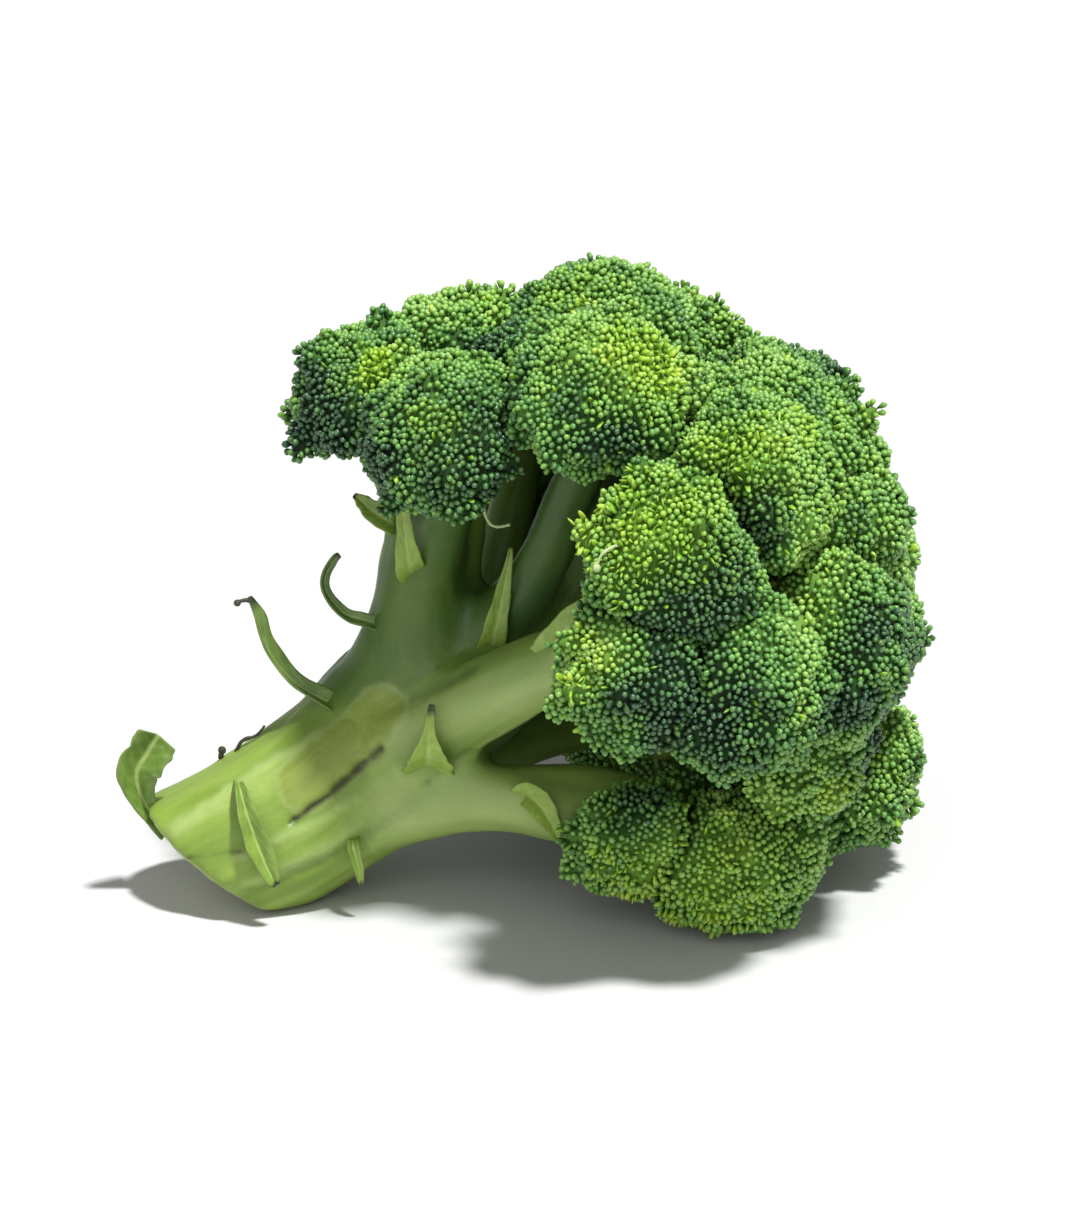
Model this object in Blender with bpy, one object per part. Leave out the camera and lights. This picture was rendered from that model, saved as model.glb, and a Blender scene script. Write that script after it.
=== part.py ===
"""A broccoli head lying on its side: a cut stalk with its branches, the bud heads that they carry, and leaf stubs.

The head lies as it would on a table: the cut end of the stalk and the lowest florets touch the plane Z = 0.
+X runs from the cut end towards the crown, +Y away from the viewer and +Z up. Lengths are in metres; the tables
of places and sizes are in millimetres, and MM turns them into metres.
"""

import math

import bmesh
import bpy
from mathutils import Matrix, Vector

MM = 0.001
GOLDEN_ANGLE = math.pi * (3 - math.sqrt(5))
GAP = 0.3 * MM  # between pieces that press on each other

# The crown: floret centres lie round this point, with the side towards the stalk left open.
CROWN_CENTRE = Vector((15, 3, 60)) * MM

# Florets: name, bearing round the crown from +X towards +Y and rise above the horizon (degrees), reach from the
# crown's centre and radius (millimetres).
FLORETS = (
    ("floret_left_tip", 180, 41, 64.5, 15.5),
    ("floret_left_back", 150, 50, 52, 18.5),
    ("floret_left_front", -140, 46, 56, 18),
    ("floret_top", 105, 76, 45, 22),
    ("floret_top_left", -155, 71, 46, 17),
    ("floret_top_front", -96, 58, 59, 19),
    ("floret_top_right", -14, 44, 48, 20.5),
    ("floret_front_upper_right", -58, 40, 55, 19),
    ("floret_right_upper", -22, 26, 45, 20),
    ("floret_right", -8, -6, 42, 18.5),
    ("floret_front_upper", -80, 28, 61, 18),
    ("floret_front_left", -87, 8, 57, 17),
    ("floret_front", -66, 3, 57, 18.5),
    ("floret_front_right", -42, 5, 51, 20),
    ("floret_front_low_right", -38, -25, 49, 15),
    ("floret_low_right", 10, -40, 57, 18),
    ("floret_low_middle", 0, -64, 42, 15),
    ("floret_low_front_left", -80, -55, 44, 16),
    ("floret_low_front_right", -46, -52, 53, 18.5),
    ("floret_back_upper", 34, 36, 45, 20),
    ("floret_back_upper_left", 75, 38, 55, 16),
    ("floret_back_top_left", 112, 36, 53, 18.5),
    ("floret_back_left", 110, 8, 55, 19),
    ("floret_back", 76, 8, 54, 20),
    ("floret_back_right", 32, 2, 46, 20.5),
    ("floret_back_low_right", 42, -30, 50, 20),
    ("floret_back_low_middle", 76, -20, 54, 15.5),
    ("floret_back_low", 75, -49, 54, 19.5),
    ("floret_back_low_left", 110, -22, 53, 17),
)

# A floret: one lobe on its axis and a ring round it, covered with clusters of buds.
LOBES = 7
RING_TILT = math.radians(62)
CLUSTER_WIDTH = 10.8 * MM
CLUSTER_HEIGHT = 2.2 * MM
SHOULDER, SADDLE, VALLEY = 0.8, -0.3, -0.8  # heights on a cluster, as a share of the height of its top
SHOULDER_AT = 0.5  # how far from a cluster's top to the valley its shoulder is
OPEN_SIDE = -0.25  # cosine of the angle from the axis where a floret's buds end
WALL_SHARE = 0.9  # buds end where a neighbour presses deeper than this share of the radius
CUTTER_GROWTH = 1.03  # a floret this much larger trims the branch that carries it

# The stalk: a stem's name and its points, x, y, z and radius (millimetres), from inside the trunk outwards.
STEMS = (
    ("trunk", ((-82, -3, 1, 16.5), (-68, -3, 6.5, 17), (-56, -3, 12.5, 17.5), (-44, 1, 19, 18), (-28, 6, 30, 17.5),
               (-12, 8, 42, 14), (6, 8, 52, 10), (24, 6, 60, 7))),
    ("left", ((-52, 6, 22, 9), (-36, 5, 34, 12), (-26, 3, 50, 11), (-23.5, 2, 68, 8.5), (-22.5, 2, 84, 7.5),
              (-22, 2, 96, 7))),
    ("left_tip", ((-24, 3, 70, 5.5), (-27, 3, 84, 5.5), (-36, 3, 98, 5))),
    ("left_back", ((-24, 4, 66, 5.5), (-20, 12, 84, 5.5), (-19, 17, 100, 5))),
    ("left_front", ((-22, 1, 66, 6), (-18, -8, 84, 6), (-16, -20, 98, 5))),
    ("thin", ((-16, 8, 48, 5), (-14, 8, 64, 3.2), (-12, 7, 80, 3.2), (-8, 2, 94, 4), (-2, -2, 102, 4.5))),
    ("top_front", ((-22, 6, 38, 9), (-10, 1, 54, 7), (0, -6, 70, 6), (6, -14, 88, 5.5), (12, -26, 106, 5))),
    ("top", ((-10, 8, 44, 9), (4, 10, 66, 7), (14, 11, 86, 6.5), (17, 12, 104, 5))),
    ("mid", ((-46, 1, 22, 8), (-28, -4, 32, 10), (-10, -13, 46, 8.5), (4, -26, 58, 7.5), (16, -42, 66, 6.5),
             (20, -56, 68, 5))),
    ("mid_upper", ((6, -28, 60, 5.5), (14, -40, 74, 5), (24, -50, 88, 4.5))),
    ("mid_right", ((4, -24, 56, 5.5), (22, -38, 60, 5), (38, -50, 62, 4.5))),
    ("low", ((-60, 1, 12, 8), (-42, -3, 15, 9.5), (-24, -6, 21, 8.5), (-8, -10, 23, 7), (8, -16, 20, 5.5),
             (20, -20, 20, 5))),
    ("low_right", ((-6, -8, 24, 6), (14, -8, 24, 5.5), (34, -14, 18, 5), (44, -18, 14, 4))),
    ("back", ((-30, 12, 30, 10), (-14, 22, 40, 9), (0, 38, 54, 7.5), (16, 54, 66, 5.5))),
    ("back_left", ((-14, 22, 42, 6.5), (-10, 38, 56, 6), (-6, 52, 64, 5))),
    ("back_top", ((-12, 18, 46, 6.5), (-6, 28, 70, 5.5), (0, 38, 92, 5))),
    ("back_low", ((-40, 8, 16, 9), (-18, 16, 22, 8), (4, 28, 24, 6.5), (24, 38, 22, 5))),
    ("back_low_left", ((-24, 14, 26, 6), (-10, 32, 34, 5.5), (-2, 48, 40, 4.5))),
    ("centre_upper", ((10, 8, 54, 7), (28, -2, 74, 6.5), (44, -8, 94, 5))),
    ("centre_right", ((18, 6, 58, 6.5), (38, -6, 70, 5.5), (54, -12, 80, 4.5))),
    ("centre_front", ((10, 6, 52, 6), (28, -16, 74, 5), (40, -34, 92, 4.5))),
    ("centre_end", ((22, 6, 60, 6.5), (40, 2, 60, 5.5), (56, -2, 58, 4.5))),
    ("centre_near", ((14, 4, 54, 6), (34, -16, 58, 5.5), (52, -30, 61, 4.5))),
    ("centre_near_low", ((8, 2, 48, 6), (28, -12, 46, 5.5), (46, -23, 41, 4.5))),
    ("centre_low", ((2, 8, 46, 6.5), (24, 8, 36, 6), (54, 10, 24, 5))),
    ("centre_floor", ((4, 8, 44, 6), (20, 5, 34, 5.5), (32, 3, 24, 4.5))),
    ("centre_back", ((16, 10, 56, 6.5), (34, 22, 60, 5.5), (50, 32, 62, 4.5))),
    ("centre_back_upper", ((10, 12, 56, 6), (28, 22, 74, 5.5), (42, 28, 86, 4.5))),
    ("centre_back_top", ((10, 12, 56, 6), (18, 26, 74, 5.5), (24, 38, 88, 4.5))),
    ("centre_back_middle", ((4, 12, 46, 6), (16, 30, 45, 5.5), (25, 47, 42, 4.5))),
    ("centre_back_low", ((8, 12, 48, 6), (28, 24, 42, 5.5), (48, 34, 36, 4.5))),
)
FUSE_VOXEL = 1.5 * MM
FUSE_SMOOTHING = 8
STALK_TRIANGLES = 2000
CUT_POINT = Vector((-54, 0, 0)) * MM  # on the oblique cut across the stalk's end
CUT_NORMAL = Vector((-0.6, 0, -0.8))

# Leaf stubs: name, the side that the blade faces, camber as a share of its width, and points from the root out,
# x, y, z and width (millimetres).
LEAVES = (
    ("leaf_cut_end", (0.1, -1, 0.2), 0.25, ((-73, -2, 15, 6), (-76, -3, 20, 8), (-79, -4, 26, 10),
                                            (-76, -4, 33, 10.5))),
    ("leaf_long", (0.8, -0.5, 0.3), 0.2, ((-37, -3, 38, 5), (-42.5, -4, 41.5, 5), (-48.5, -1, 43, 4.5),
                                          (-53.5, 0, 51, 3.6), (-56.3, 0, 59, 3), (-58.5, 0, 61.5, 2))),
    ("leaf_hook", (0.6, -0.7, 0.3), 0.2, ((-29, -2, 56, 3.5), (-34.5, -2.5, 58, 3), (-39, -2, 59.5, 2.6),
                                          (-42.6, -2, 65, 2.3), (-41, -2, 70, 2), (-39.5, -2, 71.5, 1.6))),
    ("leaf_upper", (0.3, -0.9, 0.3), 0.2, ((-28, -2, 77.5, 5), (-32.5, -2.5, 80.5, 4.5), (-36.4, -2.5, 84, 1.8))),
    ("leaf_left_branch", (0, -1, 0.2), 0.2, ((-25, -4, 70, 6), (-26, -7.5, 75.5, 6.5), (-26.5, -9, 81, 4.5),
                                              (-26.5, -9, 86, 1.5))),
    ("leaf_between", (0, -1, 0.2), 0.2, ((-10, -4.5, 51, 5), (-9, -8.5, 57, 5), (-7.3, -9.5, 66, 3.2),
                                          (-5.6, -9, 75.5, 1.2))),
    ("leaf_mid", (-0.2, -0.9, 0.3), 0.2, ((0, -30, 60, 5), (3, -34, 65, 6.5), (7, -37, 71, 5.5), (12, -39, 77, 2))),
    ("leaf_fork", (0, -0.8, 0.6), 0.25, ((-22, -10, 28, 9), (-22, -17.5, 34.5, 9), (-22, -19, 40, 4.5),
                                          (-21.6, -17.5, 46, 1.5))),
    ("leaf_trunk", (0, -0.9, 0.5), 0.25, ((-60, -8, 25, 3), (-58.8, -15, 26.5, 4), (-56.8, -20.5, 21, 7),
                                           (-53, -21.5, 12.5, 2.5))),
    ("leaf_low", (0, -1, 0.2), 0.2, ((-37, -10, 17, 3.5), (-37, -15, 15.5, 3.5), (-36, -17, 11.5, 3),
                                      (-35.5, -17, 7.5, 1.4))),
    ("leaf_low_branch", (0, -0.9, 0.4), 0.2, ((-5, -13, 23, 4), (-3, -17.5, 26, 4.5), (0, -20, 24, 3.5),
                                               (1.5, -21, 20.5, 1.5))),
)
LEAF_THICKNESS = 0.9 * MM
LEAF_STEPS = 2  # rows of faces between two of a leaf's points
LEAF_COLUMNS = 4


def clear_scene():
    for obj in list(bpy.data.objects):
        bpy.data.objects.remove(obj)


def material(name, colour, roughness):
    made = bpy.data.materials.new(name)
    made.use_nodes = True
    shader = made.node_tree.nodes["Principled BSDF"]
    shader.inputs["Base Color"].default_value = (*colour, 1)
    shader.inputs["Roughness"].default_value = roughness
    shader.inputs["Metallic"].default_value = 0
    return made


def object_of(name, mesh, look):
    obj = bpy.data.objects.new(name, mesh)
    mesh.materials.clear()
    mesh.materials.append(look)
    bpy.context.scene.collection.objects.link(obj)
    return obj


def evaluated_mesh(obj):
    """The object's mesh with its modifiers applied."""
    bpy.context.view_layer.update()
    graph = bpy.context.evaluated_depsgraph_get()
    return bpy.data.meshes.new_from_object(obj.evaluated_get(graph))


def sphere_directions(count):
    """Unit vectors spread evenly over a sphere, from +Z down, along a spiral."""
    for i in range(count):
        height = 1 - (2 * i + 1) / count
        ring = math.sqrt(1 - height * height)
        turn = GOLDEN_ANGLE * i
        yield Vector((ring * math.cos(turn), ring * math.sin(turn), height))


class Floret:
    """A head of buds, star-shaped about its centre: its surface is a distance along each direction."""

    def __init__(self, name, bearing, rise, reach, radius, turn):
        bearing, rise = math.radians(bearing), math.radians(rise)
        level = Vector((math.cos(bearing), math.sin(bearing), 0))
        self.name = name
        self.radius = radius * MM
        self.outward = level * math.cos(rise) + Vector((0, 0, math.sin(rise)))
        self.centre = CROWN_CENTRE + self.outward * reach * MM
        self.upright = self.outward.to_track_quat("Z", "Y").to_matrix() @ Matrix.Rotation(turn, 3, "Z")
        self.walls = []  # (unit direction, distance) of the flat faces where it presses on its neighbours
        self.lobes = [(self.outward * 0.30 * self.radius, 0.74 * self.radius)]
        for i in range(LOBES - 1):
            around = Matrix.Rotation(math.tau * i / (LOBES - 1), 3, "Z")
            place = around @ Vector((math.sin(RING_TILT), 0, math.cos(RING_TILT)))
            self.lobes.append((self.upright @ place * 0.50 * self.radius, 0.56 * self.radius))

    def lobed_radius(self, direction):
        """Distance to the furthest lobe along a direction."""
        found = 0.55 * self.radius
        for offset, size in self.lobes:
            along = direction.dot(offset)
            inside = size * size - offset.length_squared + along * along
            if inside > 0:
                found = max(found, along + math.sqrt(inside))
        return found

    def wall_distance(self, direction):
        """Distance to the nearest wall along a direction."""
        found = math.inf
        for normal, distance in self.walls:
            facing = direction.dot(normal)
            if facing > 1e-6:
                found = min(found, distance / facing)
        return found

    def press_on(self, other):
        """Gives both florets a flat face where they meet, half the gap from the plane between them."""
        apart = other.centre - self.centre
        distance = apart.length
        if distance > 1.3 * (self.radius + other.radius):
            return
        share = (distance**2 + self.radius**2 - other.radius**2) / (2 * distance)
        normal = apart / distance
        self.walls.append((normal, share - GAP / 2))
        other.walls.append((-normal, distance - share - GAP / 2))

    def stand_on_floor(self):
        if self.centre.z < self.radius * 1.2:
            self.walls.append((Vector((0, 0, -1)), self.centre.z))

    def is_open(self, direction):
        """True where buds show: not on the underside, and not where a neighbour presses."""
        if direction.dot(self.outward) < OPEN_SIDE:
            return False
        return self.wall_distance(direction) > WALL_SHARE * self.lobed_radius(direction)

    def relief(self):
        """Directions of the surface's points with their heights: tops, shoulders and valleys of the clusters."""
        spacing = CLUSTER_WIDTH / self.radius
        count = round(4 * math.pi / (0.866 * spacing * spacing))
        coarse = bmesh.new()
        for direction in sphere_directions(count):
            coarse.verts.new(self.upright @ direction)
        bmesh.ops.convex_hull(coarse, input=coarse.verts)
        points = [(vert.co.copy(), 1.0 if self.is_open(vert.co) else 0.0) for vert in coarse.verts]
        for edge in coarse.edges:
            middle = (edge.verts[0].co + edge.verts[1].co).normalized()
            if self.is_open(middle):
                points.append((middle, SADDLE))
        for face in coarse.faces:
            corners = [vert.co for vert in face.verts]
            if all(self.is_open(corner) for corner in corners):
                valley = face.calc_center_median().normalized()
                points.append((valley, VALLEY))
                points += [(corner.lerp(valley, SHOULDER_AT).normalized(), SHOULDER) for corner in corners]
        coarse.free()
        return points

    def mesh(self):
        """The closed surface, spanned over its points on a unit sphere and then pushed out to its distances."""
        solid = bmesh.new()
        height = solid.verts.layers.float.new("height")
        for direction, share in self.relief():
            solid.verts.new(direction)[height] = share
        bmesh.ops.convex_hull(solid, input=solid.verts)
        for vert in solid.verts:
            direction = vert.co.normalized()
            reach = self.lobed_radius(direction) + vert[height] * CLUSTER_HEIGHT
            vert.co = direction * min(reach, self.wall_distance(direction))
        bmesh.ops.recalc_face_normals(solid, faces=solid.faces)
        made = bpy.data.meshes.new(self.name)
        solid.to_mesh(made)
        solid.free()
        return made


def make_florets(look):
    florets = [Floret(*row, turn=0.7 * i) for i, row in enumerate(FLORETS)]
    for i, floret in enumerate(florets):
        for other in florets[i + 1 :]:
            floret.press_on(other)
        floret.stand_on_floor()
    made = []
    for floret in florets:
        obj = object_of(floret.name, floret.mesh(), look)
        obj.location = floret.centre
        made.append(obj)
    return made


def stem_mesh(name, points):
    """A round stem along a smooth curve through its points, with closed ends."""
    curve = bpy.data.curves.new(name, "CURVE")
    curve.dimensions = "3D"
    curve.bevel_depth = 1
    curve.bevel_resolution = 3
    curve.use_fill_caps = True
    spline = curve.splines.new("BEZIER")
    spline.bezier_points.add(len(points) - 1)
    for knot, (x, y, z, radius) in zip(spline.bezier_points, points):
        knot.co = Vector((x, y, z)) * MM
        knot.radius = radius * MM
        knot.handle_left_type = knot.handle_right_type = "AUTO"
    obj = bpy.data.objects.new(name, curve)
    bpy.context.scene.collection.objects.link(obj)
    mesh = evaluated_mesh(obj)
    bpy.data.objects.remove(obj)
    return mesh


def slice_off(solid, point, normal):
    """Cuts away what lies beyond a plane and closes the cut with a flat face."""
    geometry = solid.verts[:] + solid.edges[:] + solid.faces[:]
    bmesh.ops.bisect_plane(solid, geom=geometry, plane_co=point, plane_no=normal, clear_outer=True)
    rim = [edge for edge in solid.edges if edge.is_boundary]
    bmesh.ops.triangle_fill(solid, use_beauty=True, use_dissolve=False, edges=rim)


def largest_body(mesh):
    """Deletes all but the largest connected body of a mesh."""
    solid = bmesh.new()
    solid.from_mesh(mesh)
    seen = set()
    bodies = []
    for start in solid.verts:
        if start in seen:
            continue
        body, waiting = {start}, [start]
        while waiting:
            vert = waiting.pop()
            for edge in vert.link_edges:
                other = edge.other_vert(vert)
                if other not in body:
                    body.add(other)
                    waiting.append(other)
        seen |= body
        bodies.append(body)
    keep = max(bodies, key=len)
    bmesh.ops.delete(solid, geom=[vert for vert in solid.verts if vert not in keep], context="VERTS")
    solid.to_mesh(mesh)
    solid.free()


def trim(obj, cutters):
    """Cuts the object by each cutter and keeps its largest body."""
    for cutter in cutters:
        cut = obj.modifiers.new("trim_" + cutter.name, "BOOLEAN")
        cut.operation = "DIFFERENCE"
        cut.object = cutter
    trimmed = evaluated_mesh(obj)
    obj.modifiers.clear()
    obj.data = trimmed
    largest_body(obj.data)


def room_for(floret):
    """A copy of a floret, a little larger, that leaves a gap round it when it trims a stem or a leaf."""
    copy = bpy.data.objects.new(floret.name + "_room", floret.data)
    copy.location = floret.location
    copy.scale = (CUTTER_GROWTH,) * 3
    bpy.context.scene.collection.objects.link(copy)
    return copy


def make_stalk(florets, look):
    """The trunk and its branches fused with soft forks, cut at the end and trimmed under each floret."""
    stems = bmesh.new()
    for name, points in STEMS:
        stems.from_mesh(stem_mesh(name, points))
    mesh = bpy.data.meshes.new("stalk")
    stems.to_mesh(mesh)
    stems.free()
    stalk = object_of("stalk", mesh, look)
    fuse = stalk.modifiers.new("fuse", "REMESH")
    fuse.mode = "VOXEL"
    fuse.voxel_size = FUSE_VOXEL
    soften = stalk.modifiers.new("soften", "SMOOTH")
    soften.iterations = FUSE_SMOOTHING
    fused = evaluated_mesh(stalk)
    thin = stalk.modifiers.new("thin", "DECIMATE")
    thin.ratio = STALK_TRIANGLES / (2 * len(fused.polygons))
    fused = evaluated_mesh(stalk)
    stalk.modifiers.clear()
    cut = bmesh.new()
    cut.from_mesh(fused)
    slice_off(cut, CUT_POINT, CUT_NORMAL)
    slice_off(cut, Vector((0, 0, 0)), Vector((0, 0, -1)))
    cut.to_mesh(stalk.data)
    cut.free()
    rooms = [room_for(floret) for floret in florets]
    trim(stalk, rooms)
    for room in rooms:
        bpy.data.objects.remove(room)
    return stalk


def smooth_path(points, steps):
    """Points on a Catmull-Rom curve through the given points, which may have any number of coordinates."""
    padded = [points[0], *points, points[-1]]
    for first, second, third, fourth in zip(padded, padded[1:], padded[2:], padded[3:]):
        for step in range(steps):
            t = step / steps
            yield tuple(
                0.5 * (2 * b + (c - a) * t + (2 * a - 5 * b + 4 * c - d) * t**2 + (3 * (b - c) + d - a) * t**3)
                for a, b, c, d in zip(first, second, third, fourth)
            )
    yield tuple(points[-1])


def make_leaf(name, facing, camber, points, look):
    """A blade along a curved midrib, cambered across and split into triangles alike on both faces."""
    rows = list(smooth_path(points, LEAF_STEPS))
    middles = [Vector(row[:3]) * MM for row in rows]
    blade = bmesh.new()
    bmesh.ops.create_grid(blade, x_segments=LEAF_COLUMNS, y_segments=len(rows) - 1, size=1)
    blade.verts.ensure_lookup_table()
    for vert in blade.verts:
        across = vert.co.x
        i = round((vert.co.y + 1) / 2 * (len(rows) - 1))
        along = (middles[min(i + 1, len(rows) - 1)] - middles[max(i - 1, 0)]).normalized()
        side = along.cross(Vector(facing)).normalized()
        lift = side.cross(along)
        width = rows[i][3] * MM
        vert.co = middles[i] + side * across * width / 2 + lift * camber * width * (1 - across * across)
    bmesh.ops.triangulate(blade, faces=blade.faces)
    mesh = bpy.data.meshes.new(name)
    blade.to_mesh(mesh)
    blade.free()
    leaf = object_of(name, mesh, look)
    thicken = leaf.modifiers.new("thicken", "SOLIDIFY")
    thicken.thickness = LEAF_THICKNESS
    thicken.offset = 0
    leaf.data = evaluated_mesh(leaf)
    leaf.modifiers.clear()
    return leaf


def grown(obj, distance):
    """A copy of the object, its surface moved outwards, for trimming what touches it."""
    copy = bpy.data.objects.new(obj.name + "_grown", obj.data)
    bpy.context.scene.collection.objects.link(copy)
    swell = copy.modifiers.new("swell", "DISPLACE")
    swell.strength = distance
    swell.mid_level = 0
    copy.data = evaluated_mesh(copy)
    copy.modifiers.clear()
    return copy


def make_leaves(stalk, look):
    grown_stalk = grown(stalk, GAP)
    leaves = []
    for name, facing, camber, points in LEAVES:
        leaf = make_leaf(name, facing, camber, points, look)
        trim(leaf, [grown_stalk])
        leaves.append(leaf)
    bpy.data.objects.remove(grown_stalk)
    return leaves


def set_down(pieces):
    """Hangs the pieces on one empty, moved so that the origin is under the middle of them all."""
    bpy.context.view_layer.update()
    corners = [piece.matrix_world @ Vector(corner) for piece in pieces for corner in piece.bound_box]
    low = Vector([min(corner[axis] for corner in corners) for axis in range(3)])
    high = Vector([max(corner[axis] for corner in corners) for axis in range(3)])
    head = bpy.data.objects.new("head", None)
    bpy.context.scene.collection.objects.link(head)
    for piece in pieces:
        piece.parent = head
    middle = (low + high) / 2
    head.location = (-middle.x, -middle.y, -low.z)


def main():
    clear_scene()
    bud_green = material("bud_green", (0.07, 0.155, 0.035), 0.6)
    stalk_green = material("stalk_green", (0.26, 0.37, 0.09), 0.45)
    leaf_green = material("leaf_green", (0.13, 0.23, 0.05), 0.5)
    florets = make_florets(bud_green)
    stalk = make_stalk(florets, stalk_green)
    leaves = make_leaves(stalk, leaf_green)
    pieces = [*florets, stalk, *leaves]
    for piece in pieces:
        piece.data.shade_smooth()
    set_down(pieces)


main()
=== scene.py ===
"""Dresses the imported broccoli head: every floret gets its closed buds, the stalk its ribs, scars and cut face,
and the leaf stubs their veins. Lengths are in metres; MM turns millimetres into metres.
"""

import math

import bmesh
import bpy
import numpy as np
from mathutils import Matrix, Vector, noise
from mathutils.bvhtree import BVHTree
from mathutils.kdtree import KDTree


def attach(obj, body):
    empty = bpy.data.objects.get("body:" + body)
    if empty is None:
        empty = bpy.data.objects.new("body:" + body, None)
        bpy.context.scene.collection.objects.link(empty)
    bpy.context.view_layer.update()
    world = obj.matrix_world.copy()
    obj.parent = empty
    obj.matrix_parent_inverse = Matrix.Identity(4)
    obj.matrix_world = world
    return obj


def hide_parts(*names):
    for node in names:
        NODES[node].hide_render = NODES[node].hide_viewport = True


bl_info = {
    "name": "Broccoli head",
    "version": (1, 0, 0),
    "blender": (4, 5, 0),
    "location": "3D View > Sidebar > Broccoli",
    "description": "Grows buds, ribs, scars and leaf stubs on a broccoli head",
    "category": "Object",
}

MM = 0.001
GOLDEN_ANGLE = math.pi * (3 - math.sqrt(5))

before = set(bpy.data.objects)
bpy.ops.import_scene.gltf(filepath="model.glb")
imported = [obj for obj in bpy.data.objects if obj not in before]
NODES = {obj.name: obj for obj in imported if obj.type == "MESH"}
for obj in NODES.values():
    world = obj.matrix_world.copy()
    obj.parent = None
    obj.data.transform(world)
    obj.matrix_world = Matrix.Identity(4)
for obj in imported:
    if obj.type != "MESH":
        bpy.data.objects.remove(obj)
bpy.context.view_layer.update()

# Where the buds are young and pale, partly their own yellow-green and partly painted light: a point on the crown
# and the patch's radius (mm), and how pale it is.
YOUNG_AND_LIT_SPOTS = (
    ((-30, -11, 114), 7, 1.0), ((23, -38, 124), 11, 0.85), ((15, -38, 128), 9, 0.5), ((42, -51, 109), 10, 0.9),
    ((67, -17, 107), 6, 0.6), ((55, -35, 110), 8, 0.6), ((17, -62, 101), 9, 0.85), ((21, -68, 95), 7, 1.0),
    ((31, -65, 102), 9, 0.45), ((12, -67, 73), 7, 0.5), ((53, -46, 77), 9, 0.4), ((35, -40, 13), 9, 0.6),
    ((23, -38, 16), 8, 0.5), ((73, -5, 26), 7, 0.45), ((61, -38, 32), 7, 0.5), ((-17, -38, 111), 7, 0.4),
    ((-5, 17, 118), 8, 0.35), ((9, 5, 124), 8, 0.5), ((45, 17, 112), 9, 0.45), ((74, 10, 84), 9, 0.5),
    ((30, 45, 100), 11, 0.7), ((58, 36, 72), 10, 0.6), ((10, 66, 78), 11, 0.8), ((-8, 48, 62), 9, 0.5),
    ((40, -42, 22), 16, 0.5), ((60, -40, 92), 14, 0.3), ((24, -66, 99), 13, 0.85),
    ((36, 62, 48), 10, 0.6), ((56, 44, 22), 9, 0.5), ((2, 52, 30), 9, 0.45), ((12, 52, 110), 9, 0.5),
)
# Where they are ripe and dark, partly their own blue-green and partly painted shade: a point on the crown and the
# patch's radius (mm).
RIPE_AND_SHADED_SPOTS = (
    ((-41, -9, 100), 17), ((-9, -3, 115), 12), ((-11, -43, 104), 13), ((-24, -26, 98), 14), ((33, -69, 85), 14),
    ((19, -75, 66), 9), ((35, -69, 62), 16), ((25, -33, 36), 10), ((72, -30, 60), 14),
    ((59, -55, 59), 12), ((67, -50, 70), 9), ((70, -20, 38), 13), ((74, -8, 82), 9),
    ((15, -51, 111), 9), ((47, -54, 97), 9), ((43, 17, 108), 8), ((66, 22, 96), 12), ((24, 60, 96), 10),
    ((44, 56, 64), 13), ((-4, 60, 48), 12), ((24, 62, 24), 12), ((-6, 40, 108), 10), ((60, 44, 40), 10),
)
# Where the edge of a cap is ragged with bracts: a point on it and the patch's radius (mm).
RAGGED_SPOTS = (
    ((18, -38, 17), 7), ((21, -32, 10), 7), ((30, -30, 6), 7), ((36, -38, 8), 6), ((45, -37, 8), 6),
    ((13, -56, 99), 6), ((12, -62, 94), 6), ((8, -68, 66), 5), ((-6, -30, 92), 6), ((30, 58, 20), 7),
    ((18, -60, 102), 8), ((20, -69, 92), 7), ((30, -70, 98), 6), ((25, -36, 122), 6), ((43, -52, 108), 5),
    ((-30, -11, 114), 4),
)

# Florets whose caps have grown together into one larger cap.
CAPS = (
    ("left_tip", "left_back", "left_front"),
    ("top", "top_left", "back_top_left"),
    ("top_front",),
    ("top_right", "front_upper_right", "right_upper", "right", "back_upper"),
    ("front_upper", "front_left", "front"),
    ("front_right", "front_low_right"),
    ("low_middle", "low_front_left", "low_front_right"),
    ("low_right", "back_low_right"),
    ("back_upper_left", "back_left"),
    ("back", "back_right"),
    ("back_low_middle", "back_low", "back_low_left"),
)
# Where a cap falls short of its florets: a point on it, the dent's radius and its depth (mm).
CAP_DENTS = (
    ((68, -6, 110), 14, 5.0), ((72, 8, 107), 16, 4.5), ((-37, -3, 119), 11, 2.4), ((-47, 4, 97), 12, 0.8),
    ((76, -10, 79), 10, 1.4), ((11, -58, 97), 9, 2.6), ((8, -66, 74), 9, 3.6), ((66, 23, 101), 10, 2.2),
)
# Young florets that fill the gaps between the others: each one's centre and radius (mm).
SPRIGS = (
    ((29, -14, 104), 9), ((34, 4, 99), 9), ((58, 13, 42), 9), ((40, 39, 77), 9), ((30, 25, 96), 9),
    ((57, 7, 74), 9), ((57, -8, 33), 8), ((42, 42, 51), 9), ((-17, -5, 104), 7), ((16, 52, 52), 8),
    ((17, 49, 81), 8), ((16, -17, 107), 7), ((27, -24, 106), 8), ((1, -20, 108), 7),
)
CAP_FILLET = 20 * MM
CAP_VOXEL = 1.8 * MM
CAP_SMOOTHING = 14
CAP_REACH = 9 * MM  # how far a floret's surface is drawn to its cap, fully up to CAP_FULL_REACH
CAP_FULL_REACH = 0.45 * CAP_REACH
CORE_INSET = 1.5 * MM
CREASE_SHIFT = 0.3  # the share of the creases' depth that the crests stand proud by


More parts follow.
